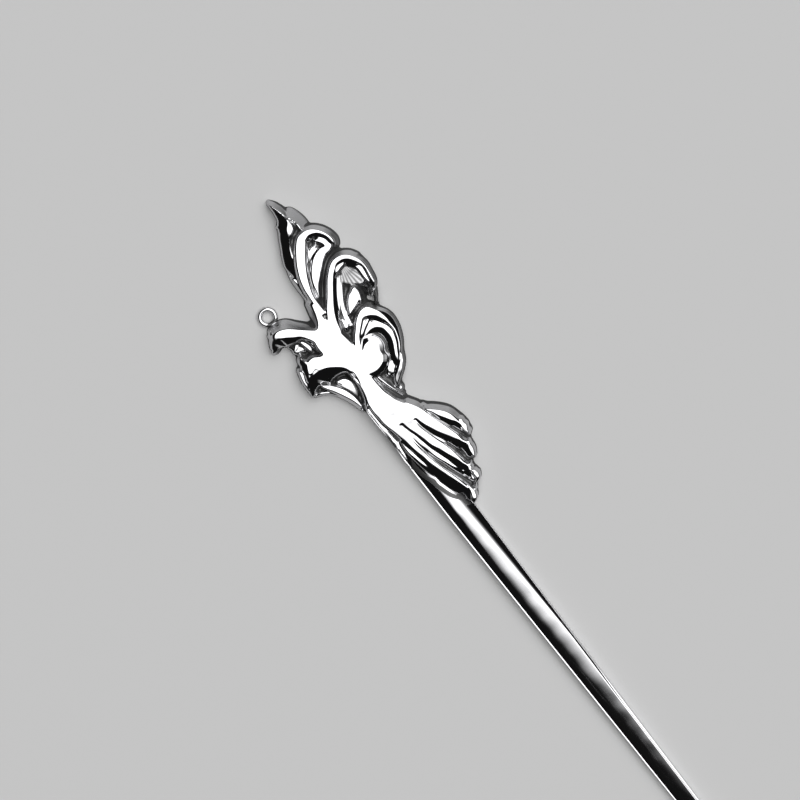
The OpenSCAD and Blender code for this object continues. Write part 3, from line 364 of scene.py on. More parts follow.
@dataclass(frozen=True)
class Tail(Relief):
    """Fan of five low ribs side by side, each with a bed, a sharp ridge and a small cap.

    A sixth ridge lies below them, and a thin ledge fills the gutter between the second and the third.
    """

    beds: tuple[Stroke, ...] = (
        Stroke(((-18.5, 6.2, 0.4, 2.4), (-16.5, 7.3, 0.6, 2.2), (-14.3, 8.4, 0.8, 2), (-12.6, 9, 0.8, 2),
            (-11, 9.3, 0.7, 2))),
        Stroke(((-17, 5.2, 0.9, 2.2), (-14, 6.2, 1, 2), (-11, 7.1, 1, 2), (-8.6, 7.8, 0.9, 2),
            (-7, 7.8, 0.6, 2))),
        Stroke(((-17, 3.3, 0.9, 2.2), (-14, 3.9, 1, 2), (-11, 4.7, 1.1, 2), (-8, 5.6, 1, 2),
            (-5.6, 6, 0.7, 2))),
        Stroke(((-16, 2, 0.9, 2.2), (-12, 2.7, 1, 2), (-8, 4, 1.1, 2), (-5, 5.2, 1, 2),
            (-3.8, 5.5, 0.7, 2))),
        Stroke(((-16, 0.6, 0.9, 2.4), (-12, 0.9, 1, 2.3), (-8, 1.6, 0.9, 2.2), (-4.5, 2.8, 0.8, 2.1),
            (-1.6, 3.1, 0.6, 2))))
    ridges: tuple[Stroke, ...] = (
        Stroke(((-18.05, 6.5, 0.03, 3.4, 0.05, 0.1), (-17, 7.3, 0.28, 3.4, 0.1, 0.2),
            (-16, 8, 0.45, 3.4, 0.15, 0.5), (-15, 8.6, 0.45, 3.4, 0.3, 0.9),
            (-14, 9.05, 0.33, 3.4, 0.4, 1.2), (-12.9, 9.5, 0.05, 3.35, 0.5, 1.2),
            (-11.6, 9.7, 0.02, 3.1, 0.5, 1), (-10.4, 9.8, 0.02, 2.7, 0.3, 0.6)), 0.78, 0.45, wall_slope=4),
        Stroke(((-20.5, 4.1, 0.8, 3.5, 0, 0), (-18.5, 4.95, 0.95, 3.5, 0.1, 0.1),
            (-15.5, 5.85, 0.85, 3.45, 0.15, 0.3), (-14, 6.4, 0.75, 3.45, 0.2, 0.5),
            (-12.5, 7, 0.55, 3.45, 0.3, 0.9), (-11, 7.6, 0.33, 3.45, 0.4, 1.3),
            (-9.8, 8.05, 0.03, 3.4, 0.5, 1.7), (-8.8, 8.4, 0.02, 3.25, 0.3, 1.6),
            (-7.2, 7.9, 0.02, 3.15, 0, 0.9)), 0.75, 0.42),
        Stroke(((-20.5, 2.8, 0.95, 3.5, 0, 0), (-18.5, 2.85, 1, 3.5, 0.1, 0.1),
            (-17, 3, 0.78, 3.48, 0.1, 0.15), (-15.5, 3.3, 0.62, 3.45, 0.12, 0.2),
            (-12.5, 4.1, 0.58, 3.45, 0.2, 0.5), (-11, 4.65, 0.5, 3.45, 0.25, 0.8),
            (-9.5, 5.1, 0.4, 3.45, 0.35, 1.1), (-8, 5.5, 0.22, 3.45, 0.4, 1.5),
            (-6.7, 5.8, 0.03, 3.4, 0.5, 1.8), (-5.7, 6.1, 0.02, 3.25, 0.2, 1.6),
            (-4.6, 5.7, 0.02, 3.15, 0, 1)), 0.75, 0.42),
        Stroke(((-19.3, 1.4, 0.03, 3.35, 0.05, 0.05), (-17.5, 1.55, 0.22, 3.35, 0.1, 0.1),
            (-16, 1.8, 0.33, 3.3, 0.12, 0.12), (-14, 2.2, 0.36, 3.25, 0.2, 0.2),
            (-12, 2.6, 0.28, 3.2, 0.2, 0.3), (-10, 3.1, 0.22, 3.2, 0.3, 0.3),
            (-8.6, 3.6, 0.12, 3.2, 0.4, 0.4), (-7.5, 3.95, 0.03, 3.1, 0.5, 0.6),
            (-6, 4.6, 0.02, 2.9, 0.6, 0.9), (-4.4, 5.3, 0.02, 2.8, 0.4, 1),
            (-3.2, 5.4, 0.02, 2.7, 0.1, 0.6)), 0.6, 0.45),
        Stroke(((-22, 0.2, 0.9, 3.5, 0, 0), (-20, 0.3, 0.95, 3.5, 0.1, 0.1), (-18, 0.5, 0.72, 3.5, 0.1, 0.1),
            (-16, 0.75, 0.47, 3.45, 0.15, 0.4), (-14, 0.95, 0.37, 3.45, 0.2, 0.5),
            (-12, 1.25, 0.27, 3.45, 0.25, 0.6), (-10, 1.62, 0.25, 3.45, 0.3, 0.8),
            (-8, 2.12, 0.25, 3.45, 0.3, 1.5), (-7, 2.42, 0.22, 3.45, 0.3, 1.85),
            (-6, 2.72, 0.2, 3.45, 0.3, 1.9), (-4.6, 3.15, 0.12, 3.4, 0.4, 2),
            (-3.4, 3.5, 0.03, 3.3, 0.5, 1.95), (-2.2, 3.7, 0.02, 3.1, 0.4, 1.6),
            (-1, 3.2, 0.02, 2.9, 0.1, 0.8)), 0.75, 0.34),
        Stroke(((-16, -0.3, 0.25, 3.2, 0.1, 0.1), (-14, -0.35, 0.15, 3.2, 0.1, 0.3),
            (-12, -0.05, 0.12, 3.2, 0.2, 0.5), (-10, 0.42, 0.12, 3.2, 0.2, 0.7),
            (-8.4, 0.85, 0.1, 3.15, 0.25, 0.75), (-7.4, 1.05, 0.03, 3, 0.3, 0.6)), 0.6, 0.4))
    gutter: Stroke = Stroke(((-17.5, 4.02, 0.03, 3.35), (-16, 4.4, 0.12, 3.3), (-14, 5, 0.22, 3.2),
        (-12.2, 5.3, 0.15, 3.1), (-11, 5.6, 0.03, 3)), 0.5, 0.5, 0.1, 0.1)
    caps: tuple[Stroke, ...] = (
        Stroke(((-12.6, 9.75, 0.1, 3.2, 0.6), (-11.7, 9.5, 0.1, 3.2, 1), (-10.8, 9.5, 0.1, 3.15, 0.7),
            (-10.2, 9.7, 0.05, 3.1, 0.2)), 0.4, wall_slope=8),
        Stroke(((-9, 8.7, 0.1, 3.2, 0.3), (-8.3, 8.3, 0.1, 3.2, 0.65), (-7.3, 8.05, 0.1, 3.2, 0.65),
            (-6.5, 7.8, 0.08, 3.15, 0.45)), 0.4, wall_slope=8),
        Stroke(((-5.9, 6.65, 0.1, 3.2, 0.2), (-5.5, 6.15, 0.1, 3.2, 0.7), (-4.9, 5.9, 0.1, 3.2, 0.75),
            (-4.5, 5.95, 0.05, 3.15, 0.2)), 0.4, wall_slope=8),
        Stroke(((-4, 6.05, 0.15, 3.15, 0.6), (-3.6, 6, 0.15, 3.15, 0.75), (-3.1, 5.85, 0.12, 3.1, 0.6),
            (-2.5, 5.05, 0.1, 3.05, 0.3), (-1.6, 4.55, 0.08, 3, 0.2)), 0.3, wall_slope=8),
        Stroke(((-2.7, 3.95, 0.1, 3.2, 0.2), (-2, 3.8, 0.15, 3.2, 0.5), (-1.2, 3.55, 0.2, 3.2, 0.6),
            (-0.6, 3.3, 0.25, 3.2, 0.5), (-0.25, 2.95, 0.25, 3.15, 0.3)), 0.3, wall_slope=8))


# Meshes

def mesh_object(name: str, points: Array, faces: list[list[int]]) -> bpy.types.Object:
    """Makes an object from points in millimetres and faces of three or more corners.

    Args:
        name: the object's name.
        points: an array of points, one row each.
        faces: the corner indices of each face.

    Returns:
        The linked object, at the origin, shaded smooth.
    """
    mesh = bpy.data.meshes.new(name)
    mesh.from_pydata(points * MM, [], faces)
    mesh.update()
    mesh.shade_smooth()
    piece = bpy.data.objects.new(name, mesh)
    bpy.context.scene.collection.objects.link(piece)
    return piece


def grid_faces(rows: int, columns: int, wrap_rows: bool = False,
               wrap_columns: bool = False) -> list[list[int]]:
    """Corner indices of the quads of a grid whose points are listed row by row.

    Args:
        rows, columns: how many points the grid has each way.
        wrap_rows, wrap_columns: whether the last row or column joins the first.

    Returns:
        Four indices for each quad.
    """
    i = np.arange(rows if wrap_rows else rows - 1)[:, None]
    j = np.arange(columns if wrap_columns else columns - 1)[None, :]
    i_next, j_next = (i + 1) % rows, (j + 1) % columns
    corners = [i * columns + j, i * columns + j_next, i_next * columns + j_next, i_next * columns + j]
    return np.stack([c + 0 * i + 0 * j for c in corners], -1).reshape(-1, 4).tolist()


def soften(heights: Array, radius: float, radii: float = 4) -> Array:
    """Rounds an array with a Gaussian, along one axis and then the other.

    Args:
        heights: the array.
        radius: the Gaussian's, in cells.
        radii: how many radii its weights reach.

    Returns:
        The rounded array.
    """
    reach = int(radii * radius + 1)
    weights = np.exp(-0.5 * (np.arange(-reach, reach + 1) / radius) ** 2)
    weights /= weights.sum()
    for _ in range(2):
        padded = np.pad(heights, ((reach, reach), (0, 0)), mode="edge")
        rows = heights.shape[0]
        heights = sum(w * padded[k:k + rows] for k, w in enumerate(weights)).T
    return heights


@dataclass(frozen=True)
class Waviness:
    """Shallow unevenness that casting and hand polishing leave: a sum of waves in scattered directions."""

    count: int = 28
    shortest: float = 1.6
    longest: float = 7.0
    steepness: float = 0.006
    seed: int = 4

    def heights(self, x: Array, y: Array) -> Array:
        """Height of the unevenness in millimetres at each place."""
        draw = np.random.default_rng(self.seed)
        total = np.zeros(np.broadcast(x, y).shape)
        for _ in range(self.count):
            length = self.shortest * (self.longest / self.shortest) ** draw.random()
            way, phase = draw.random(2) * 2 * np.pi
            wave = 2 * np.pi / length
            total += self.steepness / wave * np.sin(wave * (x * np.cos(way) + y * np.sin(way)) + phase)
        return total


@dataclass
class Ornament:
    """Relief at the head of the pin, as one closed solid that reaches a little below the back."""

    step: float = 0.1
    finer: int = 2
    polish_radius: float = 0.1
    fillet_radius: float = 0.28
    fillet_depth: float = 0.4
    low: tuple[float, float] = (-63.2, -9.2)
    high: tuple[float, float] = (1.2, 15.2)
    sink: float = 1.0
    far_edge: float = 1.001
    waviness: Waviness = field(default_factory=Waviness)
    parts: tuple[Relief, ...] = (Crest(), FirstScroll(), SecondScroll(), ThirdScroll(), FirstHook(),
                                 SecondHook(), Body(), Tail())
    x: Array = field(init=False)
    y: Array = field(init=False)
    surface: Array = field(init=False)

    def __post_init__(self) -> None:
        """Works out the surface: the highest stroke at each place, rounded and made slightly uneven."""
        fine = self.step / self.finer
        along, across = np.arange(self.low[0], self.high[0], fine), np.arange(self.low[1], self.high[1], fine)
        x, y = np.meshgrid(along, across)
        surface = np.full(x.shape, -2 * self.sink)
        for part in self.parts:
            for stroke in part.strokes():
                x_low, x_high, y_low, y_high = stroke.reach()
                i = slice(*np.searchsorted(along, (x_low, x_high)))
                j = slice(*np.searchsorted(across, (y_low, y_high)))
                surface[j, i] = np.maximum(surface[j, i], stroke.heights(x[j, i], y[j, i]))
        surface = self._fill_corners(soften(surface, self.polish_radius / fine), fine)
        kept = (slice(None, None, self.finer),) * 2
        self.x, self.y = along[kept[0]], across[kept[1]]
        self.surface = np.maximum(surface[kept] + self.waviness.heights(x[kept], y[kept]), -self.sink)

    def _fill_corners(self, surface: Array, fine: float) -> Array:
        """Rounds inner corners, which a casting can't have sharp, and leaves outer edges as they are."""
        above = soften(surface, self.fillet_radius / fine) - surface
        return surface + above * np.clip(above / self.fillet_depth, 0, 1)

    def build(self) -> bpy.types.Object:
        """Makes the solid: the surface above, a flat sheet below, and a curtain between their edges."""
        rows, columns = self.surface.shape
        x, y = np.meshgrid(self.x, self.y)
        top = np.stack([x, y, self.surface], -1).reshape(-1, 3)
        last, far_left = rows * columns - 1, (rows - 1) * columns
        edge = np.concatenate([np.arange(0, columns - 1), np.arange(columns - 1, last, columns),
                               np.arange(last, far_left, -1), np.arange(far_left, 0, -columns)])
        below = top[edge] - np.array([0, 0, self.sink])
        below_index = rows * columns + np.arange(len(edge))
        curtain = np.stack([below_index, np.roll(below_index, -1), np.roll(edge, -1), edge], -1)
        faces = [*grid_faces(rows, columns), *curtain.tolist(), below_index[::-1].tolist()]
        return mesh_object("ornament", np.vstack([top, below]), faces)

    def depth(self, x: Array, y: Array, radius: float) -> Array:
        """How far each place lies below the surface around it, in millimetres, by bilinear lookup.

        The lookup stops far_edge cells before the end of the grid, so that it always has a next cell.

        Args:
            x, y: places, as arrays of one shape.
            radius: how far around it the surface is averaged, as a Gaussian's radius.

        Returns:
            Depths, in an array of the same shape.
        """
        low = soften(np.maximum(self.surface, 0), radius / self.step) - np.maximum(self.surface, 0)
        u = np.clip((x - self.x[0]) / self.step, 0, len(self.x) - self.far_edge)
        v = np.clip((y - self.y[0]) / self.step, 0, len(self.y) - self.far_edge)
        i, j = u.astype(int), v.astype(int)
        s, t = u - i, v - j
        near = low[j, i] * (1 - s) + low[j, i + 1] * s
        far = low[j + 1, i] * (1 - s) + low[j + 1, i + 1] * s
        return near * (1 - t) + far * t


@dataclass(frozen=True)
class Shoulder:
    """How the top of the shank falls away on one side, in millimetres, at the ornament and further along.

    The middle is nearly flat out to a distance, and beyond it the top bends down towards a slope.
    """

    flat: float
    far_margin: float
    slope: float
    bend: float
    far_bend: float
    crown_radius: float

    def drop(self, v: Array, half: Array, settle: Array) -> Array:
        """Fall below the middle.

        Args:
            v: distance from the middle.
            half: half width there.
            settle: 0 at the ornament and 1 where the section no longer changes its form.

        Returns:
            The fall, one value for each v.
        """
        flat = self.flat + (np.maximum(half - self.far_margin, 0) - self.flat) * settle
        bend = self.bend + (self.far_bend - self.bend) * settle
        beyond = np.maximum(v - flat, 0)
        return v**2 / (2 * self.crown_radius) + self.slope * (np.sqrt(beyond**2 + bend**2) - bend)


@dataclass
class Shank:
    """Tapering stick with a flat back, upright edges, a crowned top, a rounded point and two thin ledges.

    The ledges are what the mould's parting line leaves beside the crown. The one on the -Y side runs the
    whole way and the other starts part of the way along. The stick drifts a little off the x axis.
    """

    length: float = 118.0
    width: float = 4.95
    tip_width: float = 2.4
    thickness: float = 2.75
    tip_thickness: float = 1.5
    shoulders: tuple[Shoulder, Shoulder] = (
        Shoulder(0.6, 0.9, 0.5, 1.8, 0.4, crown_radius=16),
        Shoulder(0.0, 0.38, 0.85, 1.3, 0.12, crown_radius=32))
    settled: float = 30.0
    tip_length: float = 9.0
    tip_height: float = 0.5
    tip_blunt: float = 0.01
    tip_steps: int = 40
    offset: float = 0.2
    drift: float = -0.0142
    ledge: float = 0.22
    ledge_drop: float = 0.25
    ledge_lean: float = 0.17
    upper_ledge: tuple[float, float] = (36.0, 46.0)
    least_ledge: float = 0.05
    root: float = -24.0
    sink: float = 0.5
    along: int = 260
    across: int = 44
    waviness: Waviness = field(default_factory=lambda: Waviness(count=20, shortest=3.0, longest=30.0,
                                                                steepness=0.002, seed=9))

    def build(self) -> bpy.types.Object:
        """Makes the solid as a section carried along x.

        The width and thickness fall evenly to the shoulder of the point. Along the point the width closes
        as an ellipse does, and the thickness as far as a share of its own.
        """
        shoulder = self.length - self.tip_length
        closing = np.sin(np.linspace(0, np.pi / 2, self.tip_steps))[1:-1]
        x = np.concatenate([np.linspace(self.root, shoulder, self.along),
                            shoulder + closing * self.tip_length, [self.length - self.tip_blunt]])[:, None]
        taper, settle = np.clip(x / shoulder, 0, 1), np.clip(x / self.settled, 0, 1)
        closed = np.sqrt(1 - np.clip((x - shoulder) / self.tip_length, 0, 1) ** 2)
        half = (self.width + (self.tip_width - self.width) * taper) * closed / 2
        high = self.thickness + (self.tip_thickness - self.thickness) * taper
        high = high * (self.tip_height + (1 - self.tip_height) * closed)
        lower = self.ledge * closed
        begun = (x - self.upper_ledge[0]) / np.ptp(self.upper_ledge)
        upper = self.ledge * closed * np.clip(begun, self.least_ledge, 1)
        u = np.cos(np.linspace(0, np.pi, self.across))[None, :]
        y = (half - upper) * (1 + u) / 2 - (half - lower) * (1 - u) / 2
        drops = [side.drop(np.abs(y), half, settle) for side in self.shoulders]
        z = high - np.where(y > 0, drops[1], drops[0]) + self.waviness.heights(x, y)
        sides = []
        for side, ledge, edge in ((1, upper, z[:, :1]), (-1, lower, z[:, -1:])):
            shelf = edge - self.ledge_drop * ledge / self.ledge
            lean = -side * self.ledge_lean * ledge
            sides.append((side * np.hstack([half, half, half - ledge]),
                          np.hstack([np.full_like(half, -self.sink), shelf + lean, shelf])))
        y = np.hstack([sides[0][0], y, sides[1][0][:, ::-1]]) + self.offset + self.drift * x
        z = np.hstack([sides[0][1], z, sides[1][1][:, ::-1]])
        points = np.stack([np.broadcast_to(x, y.shape), y, z], -1)
        rows, columns = y.shape
        faces = grid_faces(rows, columns, wrap_columns=True)
        faces += [list(range(columns))[::-1], list(range((rows - 1) * columns, rows * columns))]
        return mesh_object("shank", points.reshape(-1, 3), faces)


@dataclass
class Eyelet:
    """Ring of wire cast on for a drop."""

    name: str
    centre: tuple[float, float, float]
    hole_axis: tuple[float, float, float]
    hole_radius: float = 0.95
    wire: float = 0.8
    around: int = 64
    section: int = 20

    def build(self) -> bpy.types.Object:
        """Makes the ring: a circle carried around a circle."""
        turn, lap = np.meshgrid(np.linspace(0, 2 * np.pi, self.around, endpoint=False),
                                np.linspace(0, 2 * np.pi, self.section, endpoint=False), indexing="ij")
        radius = self.hole_radius + self.wire / 2 * (1 + np.cos(lap))
        ring = np.stack([radius * np.cos(turn), radius * np.sin(turn), self.wire / 2 * np.sin(lap)], -1)
        axis = Vector(self.hole_axis).normalized()
        turned = np.array(axis.to_track_quat("Z", "Y").to_matrix())
        points = ring.reshape(-1, 3) @ turned.T + np.array(self.centre)
        return mesh_object(self.name, points, grid_faces(self.around, self.section, True, True))


@dataclass
class Casting:
    """The whole pin: ornament, shank and eyelets joined into one solid and cut flat at its back."""

    ornament: Ornament = field(default_factory=Ornament)
    shank: Shank = field(default_factory=Shank)
    eyelets: tuple[Eyelet, ...] = (
        Eyelet("eyelet_left", (-47.0, -5.2, 0.5), (0, 0, 1)),
        Eyelet("eyelet_right", (-38.6, 11.9, 1.75), (-0.515, -0.857, 0)))
    crease: float = radians(38)
    cavity_radius: float = 0.5
    # The bowl of painted shade: centre x and y, inner and outer radius; the fields after it set its radial
    # stripes.
    bowl_shade: tuple[float, float, float, float] = (-43.9, 10.7, 1.9, 2.6)
    brush_origin: tuple[float, float] = (-47.0, 10.6)
    stripe_count: float = 40.0
    stripe_depth: float = 0.25
    bowl_shade_top: float = 2.9
    # Walls given painted shade: the way they face, how much they must face it, and the x over which it ends.
    shade_way: tuple[float, float] = (0.618, 0.786)
    shade_facing: tuple[float, float] = (0.35, 0.65)
    shade_end: tuple[float, float] = (-16.0, -12.0)
    open_facing: float = 0.62
    wall_facing: float = 0.38
    cutter: float = 200.0

    def build(self) -> bpy.types.Object:
        """Joins the pieces, cuts them at the back, and marks how deep each place lies in the relief."""
        piece = self.ornament.build()
        self._combine(piece, self.shank.build(), "UNION")
        for eyelet in self.eyelets:
            self._combine(piece, eyelet.build(), "UNION")
        self._combine(piece, self._below(), "DIFFERENCE")
        piece.name = piece.data.name = "hairpin_casting"
        piece.data.shade_smooth()
        piece.data.set_sharp_from_angle(angle=self.crease)
        self._mark(piece.data)
        return piece

    @staticmethod
    def _combine(piece: bpy.types.Object, other: bpy.types.Object, operation: str) -> None:
        """Joins another solid to the piece, or cuts it away, and removes the other object."""
        modifier = piece.modifiers.new("combine", "BOOLEAN")
        modifier.operation = operation
        modifier.solver = "MANIFOLD"
        modifier.object = other
        evaluated = piece.evaluated_get(bpy.context.evaluated_depsgraph_get())
        mesh = bpy.data.meshes.new_from_object(evaluated)
        piece.modifiers.clear()
        piece.data = mesh
        bpy.data.objects.remove(other)

    def _below(self) -> bpy.types.Object:
        """A block under the back, wider than the pin on every side."""
        sides = (-self.cutter, self.cutter)
        points = np.array([(x, y, z) for z in (-self.cutter, 0) for y in sides for x in sides])
        faces = [[0, 2, 3, 1], [4, 5, 7, 6], [0, 1, 5, 4], [1, 3, 7, 5], [3, 2, 6, 7], [2, 0, 4, 6]]
        return mesh_object("below", points, faces)

    def _mark(self, mesh: bpy.types.Mesh) -> None:
        """Writes four attributes for the finish.

        depth is how far a point lies below the metal around it, in millimetres. wall is 1 where the surface
        is too steep for a polishing wheel to reach, and 0 where it is open. bowl_shade is high in the bowl of
        the second scroll, in radial stripes below the rim, and fades out between the bowl's two radii: it
        marks painted shade there, and a rougher finish. shade is 1 on the steep walls that face away from the
        hooks,
        and marks painted shade: those walls get a darker colour.

        Args:
            mesh: the finished mesh.
        """
        points, normals = (np.empty(len(mesh.vertices) * 3) for _ in range(2))
        mesh.vertices.foreach_get("co", points)
        mesh.vertices.foreach_get("normal", normals)
        points, normals = points.reshape(-1, 3), normals.reshape(-1, 3)
        x, y = points[:, :2].T / MM
        # The hollow colour goes where depth is large: painted shade in the hollows, which also stands for
        # tarnish there.
        depth = np.where(x < 0, self.ornament.depth(x, y, self.cavity_radius), 0)
        wall = np.clip((self.open_facing - normals[:, 2]) / (self.open_facing - self.wall_facing), 0, 1)
        for eyelet in self.eyelets:
            from_centre = np.linalg.norm(points / MM - np.array(eyelet.centre), axis=1)
            wall[from_centre < eyelet.hole_radius + eyelet.wire] = 0
        # Painted shade of the second scroll's bowl, below its rim, in radial stripes.
        bowl_x, bowl_y, inner, outer = self.bowl_shade
        bowl_shade = np.clip((outer - np.hypot(x - bowl_x, y - bowl_y)) / (outer - inner), 0, 1)
        way = np.arctan2(y - self.brush_origin[1], x - self.brush_origin[0])
        bowl_shade = (bowl_shade * (points[:, 2] < self.bowl_shade_top * MM)
                   * (1 - self.stripe_depth + self.stripe_depth * np.sin(self.stripe_count * way)))
        # Painted shade on steep walls that face away from the hooks, fading out towards the tail.
        facing = normals[:, :2] @ np.array(self.shade_way)
        shade = (wall * np.clip((facing - self.shade_facing[0]) / np.ptp(self.shade_facing), 0, 1)
                 * np.clip((self.shade_end[1] - x) / np.ptp(self.shade_end), 0, 1))
        for name, values in (("depth", depth), ("wall", wall), ("bowl_shade", bowl_shade), ("shade", shade)):
            mesh.attributes.new(name, "FLOAT", "POINT").data.foreach_set("value", values.astype(np.float32))


# Finishes

Value = Union["Socket", float]
Colour = Union["Socket", tuple[float, float, float]]


class Socket:
    """A node's output, with arithmetic that adds Math nodes."""

    def __init__(self, graph: "Graph", link: Optional[bpy.types.NodeSocket]) -> None:
        """Wraps an output of a node in a graph, or nothing where the node has no outputs."""
        self.graph = graph
        self.link = link

    def _math(self, operation: str, *values: Value) -> "Socket":
        """A Math node of one operation on the values."""
        return self.graph.node("ShaderNodeMath", {"operation": operation}, *values)

    def __add__(self, other: Value) -> "Socket":
        """Sum."""
        return self._math("ADD", self, other)

    def __sub__(self, other: Value) -> "Socket":
        """Difference."""
        return self._math("SUBTRACT", self, other)

    def __rsub__(self, other: Value) -> "Socket":
        """Difference with the value on the left."""
        return self._math("SUBTRACT", other, self)

    def __mul__(self, other: Value) -> "Socket":
        """Product."""
        return self._math("MULTIPLY", self, other)

    __radd__ = __add__

    def angle(self, other: "Socket") -> "Socket":
        """Angle in degrees whose tangent is this value over the other."""
        return self._math("ARCTAN2", self, other) * (180 / np.pi)

    def step(self, low: float, high: float) -> "Socket":
        """Smooth rise from 0 at low to 1 at high."""
        settings = {"interpolation_type": "SMOOTHERSTEP"}
        return self.graph.node("ShaderNodeMapRange", settings, self, low, high, 0.0, 1.0)

    def at_least(self, other: Value) -> "Socket":
        """The larger of the two."""
        return self._math("MAXIMUM", self, other)

    def blend(self, low: Colour, high: Colour) -> "Socket":
        """Colour between two, from the first at 0 to the second at 1."""
        unused = [None] * 5
        ends = [end if isinstance(end, Socket) else (*end, 1) for end in (low, high)]
        return self.graph.node("ShaderNodeMix", {"data_type": "RGBA"}, self, *unused, *ends, output=2)


class Graph:
    """The node tree of a material or of the world."""

    def __init__(self, owner: Union[bpy.types.Material, bpy.types.World]) -> None:
        """Empties the owner's tree."""
        owner.use_nodes = True
        self.tree = owner.node_tree
        self.tree.nodes.clear()

    def node(self, kind: str, settings: dict[str, Any], *values: Any, output: Union[int, str] = 0,
             **named: Any) -> Socket:
        """Adds a node, sets it, and feeds its inputs.

        Args:
            kind: the node's type.
            settings: properties to set before anything is linked.
            values: values or sockets for its inputs in order. None leaves an input as it is.
            output: which output to return.
            named: values or sockets for inputs by name, with an underscore for each space.

        Returns:
            The chosen output.
        """
        node = self.tree.nodes.new(kind)
        for key, value in settings.items():
            setattr(node, key, value)
        pairs = [(node.inputs[i], value) for i, value in enumerate(values) if value is not None]
        pairs += [(node.inputs[key.replace("_", " ")], value) for key, value in named.items()]
        for entry, value in pairs:
            if isinstance(value, Socket):
                self.tree.links.new(value.link, entry)
            else:
                entry.default_value = value
        return Socket(self, node.outputs[output] if len(node.outputs) else None)


@dataclass(frozen=True)
class PolishedPlate:
    """Bright plating over cast metal: mirror-like on top, rougher and darker in hollows, on some walls and in
    a bowl.

    The colour goes from bright to hollow where the depth attribute passes from hollow_start to hollow_full,
    shifted by a cloud of noise, or where shade says so: this darker colour is painted shade, which in the
    hollows also stands for tarnish. In the second scroll's bowl the colour is painted shade as well, in
    stripes. The roughness is the sum of each cause's share.
    """

    name: str = "polished_plate"
    bright: tuple[float, float, float] = (0.55, 0.55, 0.56)
    # Colour of painted shade in hollows and on shaded walls; in the hollows it stands for tarnish as well.
    hollow: tuple[float, float, float] = (0.1, 0.1, 0.1)
    # Colour of painted shade in the bowl of the second scroll.
    bowl_shade_colour: tuple[float, float, float] = (0.17, 0.17, 0.17)
    shine: float = 0.05
    hollow_roughness: float = 0.5
    wall_roughness: float = 0.5
    hollow_start: float = 0.08
    hollow_full: float = 0.24
    hollow_edge: float = 0.05
    shade_share: float = 0.95
    cloud_scale: float = 260.0
    cloud_roughness: float = 0.08
    ripple_scale: float = 900.0
    ripple_height: float = 0.6
    scratch_scale: float = 2500.0
    scratch_stretch: tuple[float, float, float] = (0.04, 1.0, 1.0)
    scratch_fade: tuple[float, float] = (0.55, 0.8)
    scratch_roughness: float = 0.06
    scratch_height: float = 0.15
    bump_strength: float = 0.05
    bump_distance: float = 0.00004

    def make(self) -> bpy.types.Material:
        """Builds the material."""
        material = bpy.data.materials.new(self.name)
        graph = Graph(material)
        place = graph.node("ShaderNodeTexCoord", {}, output="Object")
        depth, wall, bowl_shade, shade = (
            graph.node("ShaderNodeAttribute", {"attribute_name": name}, output="Fac")
            for name in ("depth", "wall", "bowl_shade", "shade"))
        cloud = graph.node("ShaderNodeTexNoise", {}, place, Scale=self.cloud_scale, Detail=4.0,
                           Roughness=0.6) - 0.5
        hollow = (depth + cloud * self.hollow_edge).step(self.hollow_start, self.hollow_full)
        wipe = self._wipe(graph, place)
        # Painted shade: the hollows, with their tarnish, and the shaded walls take the hollow colour.
        dark = hollow.at_least(shade * self.shade_share)
        # Painted shade: the second scroll's bowl goes towards its own darker colour, in radial stripes.
        color = dark.blend(bowl_shade.blend(self.bright, self.bowl_shade_colour), self.hollow)
        roughness = (self.shine + wipe * self.scratch_roughness
                     + cloud.at_least(0.0) * self.cloud_roughness
                     + hollow * (self.hollow_roughness - self.shine)
                     + (wall + bowl_shade) * (self.wall_roughness - self.shine))
        ripple = graph.node("ShaderNodeTexNoise", {}, place, Scale=self.ripple_scale, Detail=2.0,
                            Roughness=0.45)
        relief = ripple * self.ripple_height + wipe * self.scratch_height
        normal = graph.node("ShaderNodeBump", {}, Strength=self.bump_strength, Distance=self.bump_distance,
                            Height=relief)
        shader = graph.node("ShaderNodeBsdfPrincipled", {}, Base_Color=color, Metallic=1.0,
                            Roughness=roughness, Normal=normal)
        graph.node("ShaderNodeOutputMaterial", {}, shader)
        return material

    def _wipe(self, graph: Graph, place: Socket) -> Socket:
        """Fine hairlines from wiping: noise stretched along the pin."""
        stretched = graph.node("ShaderNodeMapping", {}, place, Scale=self.scratch_stretch)
        lines = graph.node("ShaderNodeTexNoise", {}, stretched, Scale=self.scratch_scale, Detail=3.0)
        return lines.step(*self.scratch_fade)


@dataclass(frozen=True)
class PaleFloor:
    """Plain pale matt floor."""

    name: str = "pale_floor"
    color: tuple[float, float, float] = (0.54, 0.54, 0.54)
    roughness: float = 0.9
    half_size: float = 3.0
    drop: float = 0.00002

    def build(self) -> bpy.types.Object:
        """Makes the floor just under the flat back, with its material."""
        points = np.array([(x, y, 0.0) for y in (-1, 1) for x in (-1, 1)]) * self.half_size
        points[:, 2] = -self.drop
        floor = mesh_object("floor", points / MM, [[0, 1, 3, 2]])
        material = bpy.data.materials.new(self.name)
        graph = Graph(material)
        shader = graph.node("ShaderNodeBsdfPrincipled", {}, Base_Color=(*self.color, 1),
                            Roughness=self.roughness)
        graph.node("ShaderNodeOutputMaterial", {}, shader)
        floor.data.materials.append(material)
        return floor


# Camera and light

